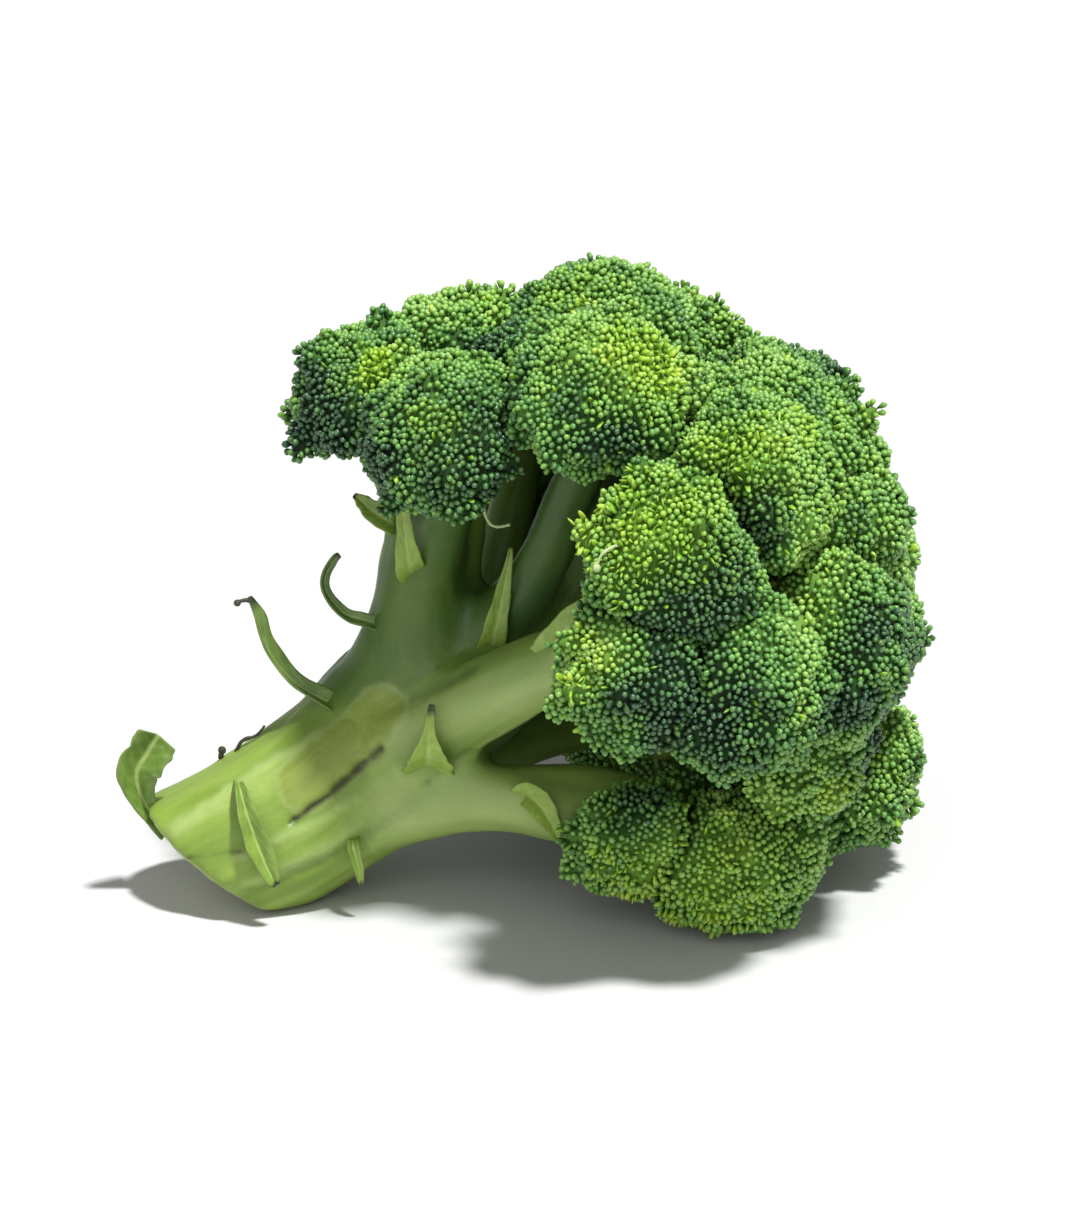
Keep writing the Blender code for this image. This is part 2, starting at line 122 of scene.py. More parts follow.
class BudSettings(bpy.types.PropertyGroup):
    """The closed buds that cover the florets"""

    spacing: bpy.props.FloatProperty(
        name="Spacing", description="Least distance between two buds", default=1.02 * MM, subtype="DISTANCE"
    )
    cluster: bpy.props.FloatProperty(
        name="Cluster", description="Least distance between two clusters", default=4.4 * MM, subtype="DISTANCE"
    )
    swell: bpy.props.FloatProperty(
        name="Swell", description="Height of a cluster over the gaps round it", default=1.3 * MM, subtype="DISTANCE"
    )
    lump: bpy.props.FloatProperty(
        name="Lump", description="Width of the lumps that clusters gather in", default=9 * MM, subtype="DISTANCE"
    )
    crease: bpy.props.FloatProperty(
        name="Crease", description="Depth of the creases between the lumps", default=0.9 * MM, subtype="DISTANCE"
    )
    length: bpy.props.FloatProperty(
        name="Length", description="A bud's height over its waist, in radii", default=1.1, min=0.8, max=2
    )
    lean: bpy.props.FloatProperty(
        name="Lean", description="How far buds lean at random from the surface", default=0.22, min=0, max=1
    )
    seed: bpy.props.IntProperty(name="Seed", description="Another seed grows another crown", default=7, min=1)
    ripe: bpy.props.FloatVectorProperty(
        name="Ripe", description="Colour of ripe buds", default=(0.188, 0.382, 0.070), subtype="COLOR"
    )
    young: bpy.props.FloatVectorProperty(
        name="Young", description="Colour of young buds", default=(0.35, 0.57, 0.028), subtype="COLOR"
    )


class StemSettings(bpy.types.PropertyGroup):
    """The stalk, its leaf stubs and the threads on it"""

    blade: bpy.props.FloatProperty(
        name="Blade", description="Thickness of the leaf stubs", default=0.5 * MM, subtype="DISTANCE"
    )
    skin: bpy.props.FloatVectorProperty(
        name="Skin", description="Colour of the stalk's fresh skin", default=(0.205, 0.310, 0.048), subtype="COLOR"
    )
    # Painted shade: the darker colour of the inner branches under the crown, partly their deeper green.
    shaded_skin: bpy.props.FloatVectorProperty(
        name="Shaded skin", description="Colour of inner branches", default=(0.066, 0.122, 0.020), subtype="COLOR"
    )
    # Also the colour of the painted light on the fronts of the low and middle branches.
    line: bpy.props.FloatVectorProperty(
        name="Line", description="Colour of the pale lines on the skin", default=(0.37, 0.47, 0.17), subtype="COLOR"
    )
    scar: bpy.props.FloatVectorProperty(
        name="Scar", description="Colour of the leaf scars", default=(0.26, 0.325, 0.065), subtype="COLOR"
    )
    pith: bpy.props.FloatVectorProperty(
        name="Pith", description="Colour of the cut end's middle", default=(0.47, 0.52, 0.27), subtype="COLOR"
    )
    leaf: bpy.props.FloatVectorProperty(
        name="Leaf", description="Colour of the deep green stubs", default=(0.075, 0.160, 0.030), subtype="COLOR"
    )
    pale_leaf: bpy.props.FloatVectorProperty(
        name="Pale leaf", description="Colour of the pale stubs", default=(0.34, 0.47, 0.075), subtype="COLOR"
    )


class StageSettings(bpy.types.PropertyGroup):
    """The camera, the lights and the surface that the head lies on"""

    elevation: bpy.props.FloatProperty(
        name="Elevation", description="Camera's angle above the horizon", default=math.radians(20), subtype="ANGLE"
    )
    distance: bpy.props.FloatProperty(
        name="Distance", description="From the camera to the head", default=2.0, unit="LENGTH"
    )
    view_height: bpy.props.FloatProperty(
        name="View height", description="Height of what the camera takes in", default=0.2424, unit="LENGTH"
    )
    sun: bpy.props.FloatProperty(name="Sun", description="Strength of the light from above", default=4.9, min=0)
    fill: bpy.props.FloatProperty(name="Fill", description="Strength of the light in front", default=1, min=0)
    sky: bpy.props.FloatProperty(name="Sky", description="Strength of the light all round", default=0.28, min=0)
    floor: bpy.props.FloatVectorProperty(
        name="Floor", description="Colour of the surface", default=(0.57, 0.57, 0.57), subtype="COLOR"
    )


# Meshes


def link(name, data):
    """An object that shows a mesh, a curve, a light or a camera in the scene."""
    made = bpy.data.objects.new(name, data)
    bpy.context.scene.collection.objects.link(made)
    return made


def merged_copy(name):
    """A bmesh of a node's mesh with its loose triangles joined."""
    solid = bmesh.new()
    solid.from_mesh(NODES[name].data)
    bmesh.ops.remove_doubles(solid, verts=solid.verts, dist=0.01 * MM)
    return solid


def new_piece(name, solid, looks):
    """Makes a bmesh an object of the head, shaded smooth, and frees the bmesh."""
    mesh = bpy.data.meshes.new(name)
    solid.to_mesh(mesh)
    solid.free()
    mesh.shade_smooth()
    for look in looks:
        mesh.materials.append(look)
    piece = link(name, mesh)
    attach(piece, "root")
    return piece


def store(piece, name, kind, values):
    """Keeps a row of values for each vertex of a piece, for its material."""
    key = "vector" if kind == "FLOAT_VECTOR" else "color"
    piece.data.attributes.new(name, kind, "POINT").data.foreach_set(key, np.array(values, np.float32).ravel())


def core_of(name, skin, settings):
    """A floret's surface, finer than the node's, drawn out to the skin of its cap and gathered into lumps."""
    core = merged_copy(name)
    bmesh.ops.subdivide_edges(core, edges=core.edges, cuts=1, use_grid_fill=True)
    bmesh.ops.triangulate(core, faces=core.faces)
    smoothed(core, 2)
    for vert in core.verts:
        place, facing, _, distance = skin.find_nearest(vert.co, CAP_REACH)
        if place is not None:
            outside = facing.dot(place - vert.co) < 0
            pull = 1 if outside else 1 - smooth_step(CAP_FULL_REACH, CAP_REACH, distance)
            hollow = settings.crease * (1 - lumpiness(place, settings.lump)) - CREASE_SHIFT * settings.crease
            inset = CORE_INSET + hollow + MM * nearness(place, CAP_DENTS)
            vert.co = vert.co.lerp(place - facing * inset, pull)
    smoothed(core, 2)
    return core


def sprig_core(centre, radius):
    """A young floret's surface: a ball that noise has dented."""
    core = bmesh.new()
    place = Matrix.Translation(Vector(centre) * MM)
    bmesh.ops.create_icosphere(core, subdivisions=2, radius=radius * MM, matrix=place)
    for vert in core.verts:
        vert.co += vert.normal * MM * noise.noise(vert.co / (8 * MM))
    core.normal_update()
    return core


def box_of(core):
    """The least and greatest corner of a core."""
    places = np.array([vert.co for vert in core.verts])
    return places.min(axis=0), places.max(axis=0)


def lumpiness(place, width):
    """From 0 in the creases between lumps to 1 on their crests."""
    wander = 0.22 * noise.noise_vector(place / (0.5 * width))
    near, far, _, _ = noise.voronoi(place / width + wander)[0]
    return smooth_step(0, 0.35, far - near) * (1 - 0.3 * near)


def smoothed(solid, times):
    """Rounds a bmesh a little, a number of times over."""
    axes = dict.fromkeys(("use_axis_x", "use_axis_y", "use_axis_z"), True)
    for _ in range(times):
        bmesh.ops.smooth_vert(solid, verts=solid.verts, factor=0.5, **axes)
    solid.normal_update()


def cap_skin(names):
    """A tree of the surface that wraps a cap's florets and bridges the creases between them."""
    united = bmesh.new()
    for name in names:
        united.from_mesh(NODES["floret_" + name].data)
    wrap = link("wrap", mesh_of(united))
    united.free()
    for growth in (CAP_FILLET, -CAP_FILLET):
        remesh = wrap.modifiers.new("remesh", "REMESH")
        remesh.voxel_size = CAP_VOXEL
        displace = wrap.modifiers.new("grow", "DISPLACE")
        displace.strength = growth
        displace.mid_level = 0
    smooth = wrap.modifiers.new("smooth", "SMOOTH")
    smooth.iterations = CAP_SMOOTHING
    skin = bmesh.new()
    skin.from_object(wrap, bpy.context.evaluated_depsgraph_get())
    tree = bvh_of(skin)
    skin.free()
    bpy.data.meshes.remove(wrap.data)
    return tree


def bvh_of(solid):
    """A tree that finds a bmesh's nearest point and where a ray meets it."""
    return BVHTree.FromBMesh(solid)


def mesh_of(solid):
    """A mesh of a bmesh, for a modifier to work on or to copy from."""
    mesh = bpy.data.meshes.new("scratch")
    solid.to_mesh(mesh)
    return mesh


# Buds


BUD_SIDES = 5
SHOULDER, SHOULDER_HEIGHT = 0.92, 0.58  # a bud's radius above its waist and the share of its length that is there
WAIST, WAIST_HEIGHT = 1.2, -0.25
POLE = 0.9  # higher than this on a ball is its pole
# Heights from this depth up give each bud painted shade at its base and a pale tip of bloom and painted highlight.
BURIED = 0.6  # how far a bud's tones start under its middle, in radii
TRIES = 7  # points that are drawn for each one that a surface has room for
ROOT_DEPTH = 0.3 * MM
CLUSTER_REACH = 0.75  # of the least distance between clusters
CLUSTER_RISE = 0.3 * MM
BUD_RISE = 0.45 * MM
SPLAY = 0.4  # how far a cluster's buds lean away from its middle
# A bud's radius as a share of the spacing: its least, how far it varies, and what the rim and youth add.
RADIUS, RADIUS_SPREAD, RIM_RADIUS, YOUNG_RADIUS = 0.56, 0.13, 0.03, -0.04
STRETCH = 0.84, 1.22
BRACT = np.array((1.0, 0.4, 2.1))  # the stretch of the narrow bracts at a ragged edge
BRACT_YOUTH = 0.75
RAGGED_SHARE, YOUNG_BRACT_SHARE = 0.5, 0.12
# How tones vary: with the region's width, the cluster, the bud, and from a cluster's middle to its rim.
REGION_WIDTHS = 16 * MM, 7 * MM
REGION_TONE, REGION_SPREAD, RIPENING = 0.67, 0.42, 0.72
CLUSTER_TONE, BUD_TONE = 0.35, 0.4
YOUTH, RIM_YOUTH, CLUSTER_YOUTH, PATCHY_YOUTH, PATCH = 1.1, -0.35, 0.12, 0.25, 2.5 * MM
# The surface between the buds takes the tone of a bud's base at this height: painted shade.
CORE_HEIGHT = 0.05  # how high on a bud the tone of the surface between the buds is taken


def bud_shape(length):
    """A closed bud with a radius of 1: slightly pointed above and widest at its waist."""
    bud = bmesh.new()
    bmesh.ops.create_uvsphere(bud, u_segments=BUD_SIDES, v_segments=3, radius=1)
    for vert in bud.verts:
        if vert.co.z > POLE:
            vert.co.z = length
        elif vert.co.z > 0:
            vert.co = Vector((SHOULDER * vert.co.x, SHOULDER * vert.co.y, SHOULDER_HEIGHT * length))
        elif vert.co.z > -POLE:
            vert.co = Vector((WAIST * vert.co.x, WAIST * vert.co.y, WAIST_HEIGHT))
    shape = mesh_of(bud)
    bud.free()
    return shape


def even_points(core, spacing, rng):
    """Points spread over a surface at random, none closer to another than the spacing, with their normals."""
    corners = np.array([[vert.co for vert in face.verts] for face in core.faces])
    normals = np.array([[vert.normal for vert in face.verts] for face in core.faces])
    areas = np.linalg.norm(np.cross(corners[:, 1] - corners[:, 0], corners[:, 2] - corners[:, 0]), axis=1) / 2
    count = int(areas.sum() / spacing**2 * TRIES)
    picks = rng.choice(len(areas), count, p=areas / areas.sum())
    shares = rng.dirichlet((1, 1, 1), count)[:, :, None]
    places = (corners[picks] * shares).sum(axis=1)
    facings = (normals[picks] * shares).sum(axis=1)
    facings /= np.linalg.norm(facings, axis=1)[:, None]
    cells = {}
    kept = []
    keys = np.floor(places / spacing).astype(int)
    around = [(i, j, k) for i in (-1, 0, 1) for j in (-1, 0, 1) for k in (-1, 0, 1)]
    limit = spacing**2
    points = places.tolist()
    for index, (x, y, z) in enumerate(keys.tolist()):
        px, py, pz = points[index]
        for i, j, k in around:
            near = cells.get((x + i, y + j, z + k))
            if near and any((qx - px) ** 2 + (qy - py) ** 2 + (qz - pz) ** 2 < limit for qx, qy, qz in near):
                break
        else:
            cells.setdefault((x, y, z), []).append((px, py, pz))
            kept.append(index)
    return places[kept], facings[kept]


def sky_directions(count):
    """Directions over a half sphere round +Z, denser near its pole."""
    for i in range(count):
        height = math.sqrt(1 - (i + 0.5) / count)
        ring = math.sqrt(1 - height * height)
        yield Vector((ring * math.cos(GOLDEN_ANGLE * i), ring * math.sin(GOLDEN_ANGLE * i), height))


SKY = list(sky_directions(12))
SKY_REACH = 60 * MM
LEAST_LIGHT = 0.1
FLOOR_CLEARANCE = 1.2 * MM
WALL_CLEARANCE = 0.9 * MM
CAP_CLEARANCE = 0.35 * MM  # between florets of one cap


def openness(place, facing, blockers):
    """The share of the sky over a point that nothing blocks."""
    turn = facing.to_track_quat("Z", "Y")
    start = place + facing * 1.3 * MM
    free = 0
    for direction in SKY:
        ray = turn @ direction
        if all(blocker.ray_cast(start, ray, SKY_REACH)[0] is None for blocker in blockers):
            free += 1
    return free / len(SKY)


def smooth_step(low, high, value):
    """From 0 at the low end to 1 at the high one, without a corner at either."""
    share = min(1, max(0, (value - low) / (high - low)))
    return share * share * (3 - 2 * share)


def nearness(place, spots):
    """How deep a place lies in any of the spots, from 0 to each one's strength."""
    return max(
        (*strength, 1)[0] * math.exp(-((place - Vector(spot) * MM).length / (radius * MM)) ** 2)
        for spot, radius, *strength in spots
    )


def ripeness_tone(place):
    """How pale the ripe buds of a region are, from 0 to 1, with the painted shade of the ripe and shaded spots."""
    wide, narrow = REGION_WIDTHS
    region = noise.noise(place / wide) + 0.5 * noise.noise(place / narrow)
    return min(1, max(0, REGION_TONE + REGION_SPREAD * region - RIPENING * nearness(place, RIPE_AND_SHADED_SPOTS)))


def grow_buds(name, core, others, everything, settings, rng):
    """Plants buds wherever a floret's surface has room and light, and gives each its tone."""
    shape = bud_shape(settings.length)
    outline = np.array([vert.co for vert in shape.vertices])
    heights = np.clip((outline[:, 2] + BURIED) / (BURIED + settings.length), 0, 1)
    root = outline[:, 2].argmin()
    buds = core.copy()
    # The surface between the buds gets a bud base's dark tone: painted shade.
    tones = [
        np.array([(ripeness_tone(vert.co), nearness(vert.co, YOUNG_AND_LIT_SPOTS), CORE_HEIGHT, 0) for vert in buds.verts])
    ]
    middles, _ = even_points(core, settings.cluster, rng)
    clusters = KDTree(len(middles))
    for index, middle in enumerate(middles):
        clusters.insert(middle, index)
    clusters.balance()
    rise = rng.normal(0, CLUSTER_RISE, len(middles))
    cluster_tone = rng.random(len(middles))
    reach = settings.cluster * CLUSTER_REACH
    places, facings = even_points(core, settings.spacing, rng)
    for place, facing in zip(map(Vector, places), map(Vector, facings)):
        if place.z < FLOOR_CLEARANCE:
            continue
        if any(other.find_nearest(place, clearance)[0] is not None for other, clearance in others):
            continue
        light = openness(place, facing, everything)
        if light < LEAST_LIGHT:
            continue
        middle, index, distance = clusters.find(place)
        rim = distance / reach
        own = cluster_tone[index] - 0.5
        youth = nearness(middle, YOUNG_AND_LIT_SPOTS) * (YOUTH + RIM_YOUTH * rim) + CLUSTER_YOUTH * own
        youth = min(1, max(0, youth + PATCHY_YOUTH * noise.noise(place / PATCH)))
        chance = ripeness_tone(place) + CLUSTER_TONE * own + BUD_TONE * (rng.random() - 0.5)
        radius = RADIUS + RADIUS_SPREAD * rng.random() + RIM_RADIUS * rim + YOUNG_RADIUS * youth
        radius *= settings.spacing
        ragged = rng.random() < RAGGED_SHARE * nearness(place, RAGGED_SPOTS) + YOUNG_BRACT_SHARE * youth
        stretch = BRACT if ragged else rng.uniform(*STRETCH, 3)
        lean = SPLAY * (place - middle) / reach + Vector(rng.normal(0, settings.lean * (2 if ragged else 1), 3))
        axis = (facing + lean - lean.dot(facing) * facing).normalized()
        turn = axis.to_track_quat("Z", "Y").to_matrix().to_4x4() @ Matrix.Rotation(rng.random() * math.tau, 4, "Z")
        lift = settings.swell * (1 - rim * rim) + rise[index] + BUD_RISE * rng.random()
        spot = Matrix.Translation(place + facing * max(0.2 * radius, lift)) @ turn
        placed = outline * stretch * radius @ np.array(spot.to_3x3()).T + np.array(spot.translation)
        placed[root] = place - facing * ROOT_DEPTH
        placed[:, 2] = placed[:, 2].clip(min=0)
        shape.vertices.foreach_set("co", placed.ravel())
        buds.from_mesh(shape)
        tone = np.empty((len(outline), 4))
        tone[:] = (min(1, max(0, chance)), max(youth, BRACT_YOUTH if ragged else 0), 0, light)
        tone[:, 2] = heights
        tones.append(tone)
    piece = new_piece("buds_" + name.removeprefix("floret_"), buds, [bpy.data.materials["bud"]])
    store(piece, "bud", "FLOAT_COLOR", np.concatenate(tones))
    bpy.data.meshes.remove(shape)
    return piece


# Stalk


# The stems' centre lines from STEMS_FROM, x, y, z and radius in millimetres, after how dark their skin is: partly a
# deeper green, partly painted shade on the inner branches under the crown.
STEMS_FROM = Vector((3.08, -2.33, 0))
STEMS = (
    (0.0, (-90, -5, 0, 16), (-68, -3, 6.5, 17), (-56, -3, 12.5, 17.5), (-44, 1, 19, 18), (-28, 6, 30, 17)),
    (0.5, (-28, 6, 30, 17), (-12, 8, 42, 14), (6, 8, 52, 10), (24, 6, 60, 7)),
    (0.35, (-52, 6, 22, 9), (-36, 5, 34, 12)),
    (0.85, (-36, 5, 34, 12), (-26, 3, 50, 11), (-23.5, 2, 68, 8.5), (-22.5, 2, 84, 7.5), (-22, 2, 96, 7)),
    (0.95, (-22, 1, 66, 6), (-18, -8, 84, 6), (-16, -20, 98, 5)),
    (0.3, (-16, 8, 48, 5), (-14, 8, 64, 3.2), (-12, 7, 80, 3.2), (-8, 2, 94, 4)),
    (0.95, (-22, 6, 38, 9), (-10, 1, 54, 7), (0, -6, 70, 6), (6, -14, 88, 5.5), (12, -26, 106, 5)),
    (0.9, (-10, 8, 44, 9), (4, 10, 66, 7), (14, 11, 86, 6.5), (17, 12, 104, 5)),
    (0.15, (-46, 1, 22, 8), (-28, -4, 32, 10)),
    (0.3, (-28, -4, 32, 10), (-10, -13, 46, 8.5), (4, -26, 58, 7.5), (16, -42, 66, 6.5)),
    (0.0, (-60, 1, 12, 8), (-42, -3, 15, 9.5), (-24, -6, 21, 8.5), (-8, -10, 23, 7), (8, -16, 20, 5.5)),
    (0.3, (-6, -8, 24, 6), (14, -8, 24, 5.5), (34, -14, 18, 5)),
    (0.7, (-30, 12, 30, 10), (-14, 22, 40, 9), (0, 38, 54, 7.5), (16, 54, 66, 5.5)),
    (0.6, (-12, 18, 46, 6.5), (-6, 28, 70, 5.5), (0, 38, 92, 5)),
    (0.3, (-40, 8, 16, 9), (-18, 16, 22, 8), (4, 28, 24, 6.5), (24, 38, 22, 5)),
)
STEM_STEP = 2 * MM
STALK_VOXEL = 1.25 * MM
CUT_POINT = (Vector((-54, 0, 0)) + STEMS_FROM) * MM
CUT_NORMAL = Vector((-0.6, 0, -0.8))

# Marks on the skin: what each is, its half width and height (mm), how strong its tint is, and points along it (mm).
# The sunken deep marks are painted shade in creases; the two broad flat pale marks are painted light.
SKIN_MARKS = (
    # Broad flat pale patches on the fronts of the low and middle branches: painted light.
    ("pale", 8.0, 0.0, 0.65, ((-24, -14, 22), (-10, -18, 25), (4, -22, 24), (14, -25, 22))),
    ("pale", 6.0, 0.0, 0.55, ((-26, -13, 36), (-14, -17, 44), (0, -28, 52), (12, -40, 60))),
    ("pale", 1.6, 0.7, 0.55,
     ((-68.9, -16.2, 17.9), (-61.9, -15.2, 22.8), (-54.9, -12.6, 27.8), (-39.9, -9.3, 35.6))),
    ("pale", 1.3, 0.5, 0.45,
     ((-18.9, -15.6, 29.6), (-26.9, -15.3, 22.4), (-36.9, -17.9, 15.9), (-54.9, -22.1, 8.9))),
    ("pale", 1.0, 0.5, 0.5, ((-21.5, -15.5, 33), (-31, -15.5, 25.5), (-42, -18.6, 19.8), (-57, -21.3, 14.0))),
    ("pale", 1.2, 0.4, 0.6, ((-10, -15.5, 37.5), (2, -25.5, 44), (10, -35, 50))),
    ("pale", 0.9, 0.3, 0.4, ((-31.5, -1, 58), (-29.3, -1, 70), (-28.6, -1, 84))),
    # Sunken creases between the branches, darkened with painted shade.
    ("deep", 1.0, -0.9, 0.6,
     ((-10.9, -16.5, 34.6), (-16.9, -15.2, 28.8), (-24.9, -15.9, 21.2), (-31.5, -15.5, 16.1))),
    ("deep", 0.9, -0.5, 0.35,
     ((-31.5, -15.5, 16.1), (-38.9, -18.2, 12.8), (-46.9, -20.5, 10.1), (-54.9, -21.4, 6.8))),
    ("deep", 2.4, -0.6, 0.8, ((-26, -10.5, 42.5), (-18.9, -14.3, 46.6), (-10.9, -18.1, 52.6))),
    # A blue-green band along the teal branch: its own colour.
    ("deep", 3.2, 0.3, 0.75, ((-24, -10, 46.5), (-15, -7, 54.5), (-9, -7, 59), (-4, -10, 64))),
    ("scar", 5.6, 0.9, 1.0, ((-43.5, -16.5, 28), (-35, -13, 35), (-28, -11.2, 40.5))),
    ("pale", 2.6, 0.2, 0.3, ((0.5, -31, 54), (8.5, -38, 59))),
    ("pale", 1.4, 0.6, 0.5, ((-66, 9, 14), (-53, 11, 21), (-41, 15, 29), (-28, 19, 38))),
    ("pale", 1.1, 0.5, 0.45, ((-60, 0, 27), (-50, 2, 33), (-42, 5, 40), (-37, 8, 48))),
    ("pale", 1.2, 0.5, 0.45, ((-58, 10, 8), (-44, 14, 12), (-28, 20, 18))),
    # Sunken creases on the back, darkened with painted shade.
    ("deep", 1.0, -0.6, 0.6, ((-62, 11, 11), (-48, 14, 17), (-34, 19, 25), (-24, 22, 33))),
    ("deep", 2.0, -0.5, 0.5, ((-30, 14, 48), (-22, 16, 58), (-18, 12, 70))),
    ("scar", 4.6, 0.8, 0.9, ((-49, 9, 24), (-42, 12, 30))),
    ("scar", 3.4, 0.6, 0.8, ((-34, 6, 62), (-32, 5, 70))),
    ("crack", 0.6, -1.0, 1.0, ((-44, 16, 26), (-38, 18, 29), (-33, 19, 33))),
    ("crack", 0.75, -1.3, 1.0, ((-28.4, -15, 34.6), (-30.7, -14.3, 32.8), (-31.3, -14, 30.9), (-33.6, -14.6, 29.7),
                               (-35.2, -15.3, 28), (-37.8, -16.8, 26.2))),
    ("crack", 0.55, -1.0, 1.0, ((-38.6, -17, 25.6), (-40.4, -17.6, 24), (-42, -18.2, 23.2), (-46, -19.2, 20.8))),
    ("crack", 0.35, -0.4, 0.55, ((-66.9, -20.1, 12.9), (-61.9, -20.8, 13.8), (-55.9, -21.5, 15.5))),
)
TINTS = ("pale", "scar", "crack", "deep")
MARK_STEP = 4  # mm
MARK_WOBBLE, LEAST_WOBBLE_SHARE = 0.9, 0.6  # how far marks stray: at most (mm), and as a share of their half width
WOBBLE_WIDTH = 2.5 * MM
SCAR_EDGE = 6  # how sharp a scar's edge is
CRACK_REACH = 1.8 * MM  # how far from a crack the skin is finer
RIB_HEIGHT = 0.45 * MM
RIB_WIDTHS = 5 * MM, 2 * MM
GRAIN_STRETCH = 0.12  # streaks are this many times as narrow as they are long
SIDEWAYS = (0, 0.8, 0.6)
BATCH = 4000  # places looked at together
CUT_BLEND = 0.8 * MM
SKIN_ROUNDS, GRAIN_ROUNDS, DARK_AND_SHADE_ROUNDS = 10, 6, 30


def along(line, step):
    """Points along a line of rows, a step apart, with whatever else the rows hold shared out between them."""
    rows = np.array(line, float)
    spans = np.linalg.norm(np.diff(rows[:, :3], axis=0), axis=1)
    reached = np.concatenate(([0], np.cumsum(spans)))
    stops = np.linspace(0, reached[-1], max(2, int(reached[-1] / step)))
    return stops, np.array([np.interp(stops, reached, column) for column in rows.T]).T


def stem_samples():
    """Every stem's points, radii, directions, distances along it and darkness, which holds painted shade."""
    points, radii, ways, travels, darks_and_shade = [], [], [], [], []
    for dark, *line in STEMS:
        travel, rows = along(line, STEM_STEP / MM)
        places = (rows[:, :3] + np.array(STEMS_FROM)) * MM
        way = np.gradient(places, axis=0)
        points.append(places)
        radii.append(rows[:, 3] * MM)
        ways.append(way / np.linalg.norm(way, axis=1)[:, None])
        travels.append(travel * MM)
        darks_and_shade.append(np.full(len(travel), dark))
    return [np.concatenate(parts) for parts in (points, radii, ways, travels, darks_and_shade)]


def nearest_stem(places):
    """For each place, a coordinate that runs along the nearest stem, its darkness with its painted shade and the
    share of its radius.
    """
    points, radii, ways, travels, darks_and_shade = stem_samples()
    grain = np.empty((len(places), 3))
    dark = np.empty(len(places))
    share = np.empty(len(places))
    for start in range(0, len(places), BATCH):
        part = slice(start, start + BATCH)
        offsets = places[part, None] - points[None]
        spans = np.linalg.norm(offsets, axis=2)
        nearest = (spans - radii).argmin(axis=1)
        rows = np.arange(len(nearest))
        offset, way = offsets[rows, nearest], ways[nearest]
        side = np.cross(way, SIDEWAYS)
        side /= np.linalg.norm(side, axis=1)[:, None]
        other = np.cross(way, side)
        radius = radii[nearest]
        length = spans[rows, nearest] + 1e-9
        across = (offset * side).sum(axis=1) / length * radius
        through = (offset * other).sum(axis=1) / length * radius
        grain[part] = np.stack((across, through, GRAIN_STRETCH * travels[nearest]), axis=1)
        dark[part] = darks_and_shade[nearest]
        share[part] = length / radius
    return grain, dark, share


def settled(values, edges, times):
    """Values evened out between neighbouring vertices."""
    values = np.asarray(values, float)
    flat = values.reshape(len(values), -1)
    counts = np.bincount(edges.ravel(), minlength=len(values))[:, None] + 1
    for _ in range(times):
        total = flat.copy()
        np.add.at(total, edges[:, 0], flat[edges[:, 1]])
        np.add.at(total, edges[:, 1], flat[edges[:, 0]])
        flat = total / counts
    return flat.reshape(values.shape)


def distance_to_line(places, line):
    """Each place's distance from a line of points, in metres."""
    corners = np.array(line, float) * MM
    nearest = np.full(len(places), np.inf)
    for start, end in zip(corners, corners[1:]):
        span = end - start
        share = np.clip((places - start) @ span / (span @ span), 0, 1)
        gap = np.linalg.norm(places - start - share[:, None] * span, axis=1)
        nearest = np.minimum(nearest, gap)
    return nearest


def fine_stalk():
    """The stalk's surface in even faces of under a millimetre, finer beside its cracks."""
    stalk = merged_copy("stalk")
    coarse = link("coarse", mesh_of(stalk))
    stalk.free()
    remesh = coarse.modifiers.new("remesh", "REMESH")
    remesh.voxel_size = STALK_VOXEL
    solid = bmesh.new()
    solid.from_object(coarse, bpy.context.evaluated_depsgraph_get())
    bpy.data.meshes.remove(coarse.data)
    smoothed(solid, SKIN_ROUNDS)
    places = np.array([vert.co for vert in solid.verts])
    solid.verts.index_update()
    near = np.zeros(len(places), bool)
    for kind, _, _, _, line in SKIN_MARKS:
        if kind == "crack":
            near |= distance_to_line(places, line) < CRACK_REACH
    edges = [edge for edge in solid.edges if near[edge.verts[0].index] and near[edge.verts[1].index]]
    bmesh.ops.subdivide_edges(solid, edges=edges, cuts=1, use_grid_fill=True)
    bmesh.ops.triangulate(solid, faces=solid.faces)
    solid.normal_update()
    return solid


